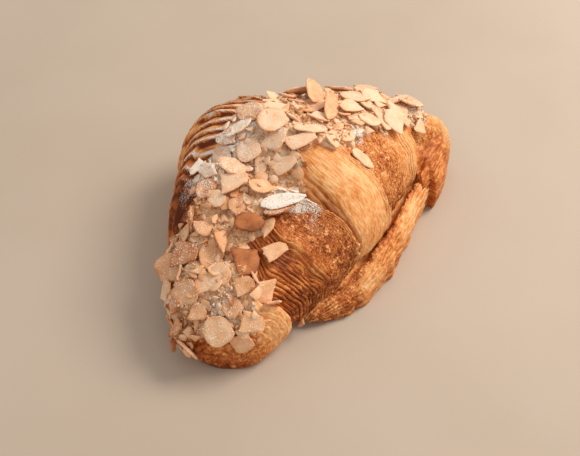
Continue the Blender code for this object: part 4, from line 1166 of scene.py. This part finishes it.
LEADING_FLAKES = (  # t, phi, length, width, turn, tilt, toast, shape
    (-0.23, 87, 15, 8, 140, 10, 0.12, HOOK), (-0.42, 90, 11, 9, 122, 8, 0.20, ROUND),
    (-0.42, 75, 19, 6, 126, 22, 0.10, DROP), (-0.48, 74, 14, 6, 134, 35, 0.42, DROP),
    (-0.62, 88, 12, 9, 105, 10, 0.70, OVAL), (-0.61, 78, 11, 7, 153, 22, 0.22, HALF),
    (-0.81, 86, 12, 12, 110, 5, 0.66, SQUARE), (-0.72, 66, 12, 7, 140, 12, 0.22, BLOCK),
    (-0.90, 61, 11, 9, 17, 14, 0.20, SQUARE), (-1.00, 53, 12, 6, 121, 62, 0.22, HALF),
    (-0.95, 82, 10, 8, 116, 16, 0.30, BLOCK), (-0.77, 136, 18, 11, 76, 14, 0.42, BLOCK),
    (-0.79, 113, 13, 9, 0, 24, 0.30, HOOK), (-0.61, 129, 11, 7, 171, 65, 0.35, OVAL),
    (-0.65, 118, 12, 9, 19, 26, 0.30, HALF), (-0.70, 103, 18, 6, 12, 50, 0.30, SHARD),
    (-0.53, 98, 12, 8, 29, 16, 0.35, HOOK), (-0.48, 120, 10, 10, 105, 10, 0.38, ROUND),
    (-0.26, 118, 11, 9, 88, 10, 0.25, ROUND), (-0.22, 103, 12, 11, 104, 14, 0.18, ROUND),
    (-0.06, 99, 14, 13, 129, 10, 0.12, ROUND), (-0.10, 85, 17, 8, 143, 16, 0.10, HOOK),
    (0.00, 84, 14, 9, 130, 12, 0.10, OVAL), (0.04, 72, 8, 6, 76, 20, 0.15, BLOCK),
    (0.15, 91, 11, 10, 110, 14, 0.15, HALF), (-1.03, 90, 9, 8, 101, 10, 0.25, ROUND),
    (-1.08, 67, 12, 9, 89, 10, 0.18, BLOCK), (-1.11, 106, 13, 12, 83, 10, 0.15, ROUND),
    (-1.14, 77, 12, 9, 119, 12, 0.20, HOOK), (-1.04, 124, 9, 8, 62, 20, 0.30, BLOCK),
    (-1.04, 165, 12, 9, 66, 25, 0.42, HALF), (-1.05, 185, 12, 7, 75, 40, 0.40, SHARD),
    (0.30, 106, 17, 10, 53, 50, 0.32, DROP), (0.26, 91, 16, 9, 37, 48, 0.34, DROP),
    (0.50, 118, 15, 10, 104, 14, 0.14, BLOCK), (0.40, 90, 15, 8, 9, 14, 0.12, HOOK),
    (0.46, 77, 12, 9, 177, 10, 0.14, ROUND), (0.17, 73, 10, 6, 121, 14, 0.20, SHARD),
    (0.18, 54, 12, 8, 119, 16, 0.15, OVAL), (0.66, 86, 14, 9, 162, 12, 0.14, HALF),
    (0.85, 73, 13, 7, 115, 22, 0.15, SHARD), (-0.84, -12, 7, 4, 30, 40, 0.30, SHARD),
)


def moved_along(t, phi, step):
    """Points on the cream, a step further along the crescent."""
    t = np.clip(t + step, -TIP_END, TIP_END)
    return crust_points(t, t_to_place(t, phi), phi, cream=1.0)


def moved_round(t, phi, step):
    """Points on the cream at the same place across the wraps, a step further round the roll."""
    place = t_to_place(t, phi)
    return crust_points(place_to_t(place, phi + step), place, phi + step, cream=1.0)


def surface_frames(t, phi):
    """Points, outward normals and directions along the crescent at arrays of t and phi."""
    t, phi = np.asarray(t, float), np.asarray(phi, float)
    before, point, after = (moved_along(t, phi, step) for step in (-FRAME_STEP, 0, FRAME_STEP))
    lower, upper = (moved_round(t, phi, step) for step in (-2 * FRAME_STEP, 2 * FRAME_STEP))
    along = (after - before) / np.linalg.norm(after - before, axis=-1, keepdims=True)
    normal = np.cross(lower - upper, along)
    return point, normal / np.linalg.norm(normal, axis=-1, keepdims=True), along


def scattered_flake(chance, shortest, longest):
    """One flake drawn at random, which may miss the topping."""
    t = chance.uniform(TOPPING_START, TOPPING_END)
    phi = math.radians(chance.uniform(TOPPING_LOW - SPILL_LOW, TOPPING_HIGH + SPILL_HIGH))
    length = shortest + (longest - shortest) * chance.random()
    width = length * chance.uniform(NARROWEST_FLAKE, WIDEST_FLAKE)
    turn = chance.uniform(0, 2 * math.pi)
    return t, phi, length, width, turn, math.radians(chance.triangular(*FLAKE_TILT))


def flake_points(flakes):
    """Where flakes touch the cream."""
    return surface_frames([flake[0] for flake in flakes], [flake[1] for flake in flakes])[0]


def on_topping(tries, leading, clearances, spacing, looks):
    """Those of the tries that fall on the topping and not too near to one that is there already."""
    found, taken = [], []
    for flake, point in zip(tries, flake_points(tries)):
        low, high = topping_limits(flake[0])
        if not low < math.degrees(flake[1]) < high:
            continue
        if (np.linalg.norm(leading - point, axis=1) < clearances).any():
            continue
        if not taken or np.linalg.norm(np.array(taken) - point, axis=1).min() > spacing:
            taken.append(point)
            found.append(flake + (looks.choice(FLAKE_TOASTS), looks.randrange(len(FLAKE_SHAPES))))
    return found


def flake_choice():
    """Every flake as (t, phi, length, width, turn, tilt, toast, shape), in the order they are laid."""
    chance, looks = random.Random(SEED), random.Random(SEED + 1)
    leading = []
    for t, phi, length, width, turn, tilt, toast, shape in LEADING_FLAKES:
        phi, turn, tilt = math.radians(phi), math.radians(turn), math.radians(tilt)
        leading.append((t, phi, length * MM, width * MM, turn, tilt, toast, shape))
    tries = [scattered_flake(chance, SHORTEST_FLAKE, LONGEST_FLAKE) for _ in range(FLAKE_TRIES)]
    clearances = np.array([BROWNED_SPACING if flake[6] > BROWNED else LEADING_SPACING for flake in leading])
    scattered = on_topping(tries, flake_points(leading), clearances, FLAKE_SPACING, looks)
    return sorted(scattered, key=lambda flake: -flake[2]) + leading


def shard_choice(flakes):
    """Broken bits of flakes that fill the gaps between them."""
    chance, looks = random.Random(SEED + 2), random.Random(SEED + 3)
    tries = [scattered_flake(chance, SHORTEST_SHARD, LONGEST_SHARD) for _ in range(SHARD_TRIES)]
    return on_topping(tries, flake_points(flakes[:1]), SHARD_SPACING, SHARD_SPACING, looks)


def flake_spots(flakes, thickness, raised):
    """Every flake as (matrix, size, shape) on the pile."""
    points, normals, alongs = surface_frames([flake[0] for flake in flakes], [flake[1] for flake in flakes])
    spots, below = [], []
    for flake, point, normal, along in zip(flakes, points, normals, alongs):
        _, _, length, width, turn, tilt, toast, shape = flake
        stack = sum(np.linalg.norm(point - other) < STACK_REACH * length for other in below)
        below.append(point)
        lift = TILT_LIFT * width / 2 * math.sin(tilt) + thickness / 2 + raised
        lift = lift + STACK_STEP * min(stack, STACK_LIMIT) + BROWNED_RAISE * (toast > BROWNED)
        normal, along = Vector(normal), Vector(along)
        place = Matrix((along, normal.cross(along).normalized(), normal)).transposed().to_4x4()
        place.translation = Vector(point) + normal * lift
        place = place @ Matrix.Rotation(turn, 4, "Z") @ Matrix.Rotation(tilt, 4, "X")
        spots.append((place, (length, width, thickness / SHAPE_THICKNESS), shape))
    return spots


def almond_piece(name, flakes, shapes, thickness, raised):
    """One piece with all the given flakes."""
    sugar = [(FLAKE_SUGAR + SUGAR_IN_SPOTS * float(sugar_field(flake[0], flake[1])) ** 2) * (flake[6] < BROWNED)
             for flake in flakes]
    # Painted shade: flakes towards the near tip are drawn darker through their toast.
    numbers = {"toast": [flake[6] + SHADED_TOAST * (flake[0] < SHADED_END) for flake in flakes], "sugar": sugar}
    thing = new_object(name, points_mesh(name, flake_spots(flakes, thickness, raised), numbers))
    bake(thing, SETTING, Shapes=shapes, Material=ALMOND)
    print(name, len(flakes), "flakes,", count_triangles(thing), "triangles")
    return thing


flakes = flake_choice()
topping = [almond_piece("almond_flakes", flakes, flake_shapes, FLAKE_THICKNESS, FLAKE_RAISE),
           almond_piece("almond_shards", shard_choice(flakes), shard_shapes, SHARD_THICKNESS, 1.0 * MM)]

# %% [markdown]
# ## Crumbs and icing sugar
# Crumbs and clumps of sugar lie in their thousands wherever something holds them.  A second Geometry
# Nodes tree spreads points over the faces that look up, as densely as an attribute says, and sets a
# small random shape on each.  Particles would do it too, but they wouldn't leave the file as geometry.

# %% Sprinkle
def sprinkle_tree():
    """The tree that strews random shapes over faces that look up."""
    inputs = {"Geometry": (GEOMETRY, None), "Shapes": (COLLECTION, None), "Material": (MATERIAL, None),
              "Density": (FLOAT, 1e5), "Least Size": (FLOAT, 0.5 * MM), "Greatest Size": (FLOAT, 1 * MM),
              "Seed": ("NodeSocketInt", 1), "Where": ("NodeSocketString", "skin")}
    tree, given, result = new_group("sprinkle", "GeometryNodeTree", inputs, {"Geometry": GEOMETRY})
    normal = put(tree, "GeometryNodeInputNormal")
    up = soft_step(tree, put(tree, "ShaderNodeSeparateXYZ", {0: normal}, out="Z"), 0.0, 0.6)
    where = put(tree, "GeometryNodeInputNamedAttribute", {"Name": given["Where"]}, data_type="FLOAT")
    density = calc(tree, "MULTIPLY", calc(tree, "MULTIPLY", up, where), given["Density"])
    spots = put(tree, "GeometryNodeDistributePointsOnFaces", {"Mesh": given["Geometry"], "Density": density,
                                                              "Seed": given["Seed"]})
    shapes = put(tree, "GeometryNodeCollectionInfo", {
        "Collection": given["Shapes"], "Separate Children": True, "Reset Children": True})
    full_turns = {0: (0, 0, 0), 1: (math.tau, math.tau, math.tau), "Seed": given["Seed"]}
    turn = put(tree, "FunctionNodeRandomValue", full_turns, data_type="FLOAT_VECTOR")
    from_0_to_1 = {2: 0.0, 3: 1.0, "Seed": given["Seed"]}
    chance = put(tree, "FunctionNodeRandomValue", from_0_to_1, out=1, data_type="FLOAT")
    size = put(tree, "ShaderNodeMapRange", {"Value": calc(tree, "POWER", chance, 2.5),
                                            "To Min": given["Least Size"], "To Max": given["Greatest Size"]})
    baked = calc(tree, "MULTIPLY", calc(tree, "MULTIPLY", chance, chance), 0.55)
    browned = put(tree, "GeometryNodeStoreNamedAttribute", {"Geometry": spots, "Name": "bake", "Value": baked},
                  data_type="FLOAT")
    placed = put(tree, "GeometryNodeInstanceOnPoints", {
        "Points": browned, "Instance": shapes, "Pick Instance": True,
        "Rotation": put(tree, "FunctionNodeEulerToRotation", {0: turn}), "Scale": size})
    real = put(tree, "GeometryNodeRealizeInstances", {"Geometry": placed})
    done = put(tree, "GeometryNodeSetMaterial", {"Geometry": real, "Material": given["Material"]})
    tree.links.new(done, result["Geometry"])
    return tree


def pebble(number, subdivisions, lumpy):
    """A crumb about 1 across, lumpy and a little flat."""
    bm = bmesh.new()
    bmesh.ops.create_icosphere(bm, subdivisions=subdivisions, radius=0.5)
    for vert in bm.verts:
        vert.co *= 1 + lumpy * noise.noise(vert.co * 3 + Vector((number * 5, 0, 0)))
        vert.co.z *= 0.6
    mesh = bpy.data.meshes.new(f"pebble_{number}")
    bm.to_mesh(mesh)
    bm.free()
    mesh.shade_smooth()
    return mesh


def sprinkled(name, ground, shapes, material, density, least, greatest, seed, where):
    """A piece of random shapes strewn over another piece."""
    thing = new_object(name, ground.data.copy())
    bake(thing, SPRINKLE, Shapes=shapes, Material=material, Density=density, Least_Size=least,
         Greatest_Size=greatest, Seed=seed, Where=where)
    print(name, count_triangles(thing), "triangles")
    return thing


SPRINKLE = sprinkle_tree()
crumb_shapes = shape_collection("crumb_shape", [pebble(number, 2, 0.9) for number in range(6)])
grain_shapes = shape_collection("grain_shape", [pebble(number, 1, 0.7) for number in range(4)])
topping += [
    sprinkled("crumbs", cream, crumb_shapes, CREAM, 2.0e5, 0.9 * MM, 3.2 * MM, 5, "skin"),
    sprinkled("sugar_on_cream", cream, grain_shapes, SUGAR, 1.6e6, 0.25 * MM, 0.8 * MM, 6, "sugar"),
    sprinkled("sugar_on_flakes", topping[0], grain_shapes, SUGAR, 2.2e6, 0.2 * MM, 0.7 * MM, 7, "sugar"),
]

# %% [markdown]
# ## The stage
# A plain pale floor, a large soft lamp from the right and a bright, even surround show the form
# without hard shadows.  The camera looks down at the hollow side of the croissant.

# %% Floor, light and camera
def stage_floor():
    """A large pale floor, just a plane, that isn't part of the croissant."""
    mesh = bpy.data.meshes.new("floor")
    half = 1.5
    corners = [(-half, -half, 0), (half, -half, 0), (half, half, 0), (-half, half, 0)]
    mesh.from_pydata(corners, [], [(0, 1, 2, 3)])
    material, tree, shader = new_material("pale floor", Roughness=0.8)
    place = put(tree, "ShaderNodeTexCoord", out="Object")
    tone = soft_step(tree, grain(tree, place, 6.0), 0.3, 0.7)
    tree.links.new(mixed(tree, tone, (0.46, 0.37, 0.29, 1), (0.50, 0.41, 0.33, 1)), shader["Base Color"])
    mesh.materials.append(material)
    floor = new_object("floor", mesh)
    floor.location.z = -0.0002
    return floor


def lamp(name, direction, distance, size, power, colour):
    """A square lamp that looks at the croissant from a direction."""
    light = bpy.data.lights.new(name, "AREA")
    light.size, light.energy, light.color = size, power, colour
    thing = new_object(name, light)
    direction = Vector(direction).normalized()
    thing.location = direction * distance
    thing.rotation_euler = direction.to_track_quat("Z", "Y").to_euler()


CAMERA_AZIMUTH, CAMERA_ELEVATION, CAMERA_DISTANCE = math.radians(-50), math.radians(48), 0.414
CAMERA_TARGET = Vector((-11.098, -13.391, 20.0)) * MM
stage_floor()
lamp("key", (0.58, -0.36, 0.80), 0.9, 0.42, 6.8, (1.0, 0.93, 0.84))
world = bpy.data.worlds.new("surround")
bpy.context.scene.world = world
world.use_nodes = True
world.node_tree.nodes["Background"].inputs["Color"].default_value = (1.0, 0.96, 0.91, 1)
world.node_tree.nodes["Background"].inputs["Strength"].default_value = 0.68
camera = new_object("camera", bpy.data.cameras.new("camera"))
camera.data.lens, camera.data.sensor_width = 60, 36
back = Vector((math.sin(CAMERA_AZIMUTH) * math.cos(CAMERA_ELEVATION),
               -math.cos(CAMERA_AZIMUTH) * math.cos(CAMERA_ELEVATION), math.sin(CAMERA_ELEVATION)))
camera.location = CAMERA_TARGET + back * CAMERA_DISTANCE
camera.rotation_euler = back.to_track_quat("Z", "Y").to_euler()
bpy.context.scene.camera = camera
bpy.context.scene.view_settings.view_transform = "Standard"
print("camera at", np.round(np.array(camera.location), 3))

# %% [markdown]
# ## Ride and replace
# Every piece rides on the pastry's one body, and the crust pieces stand for the solid, which is hidden.

# %% Ride, replace and finish
for piece in crust_pieces + [cream] + topping:
    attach(piece, "root")
    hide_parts("croissant")
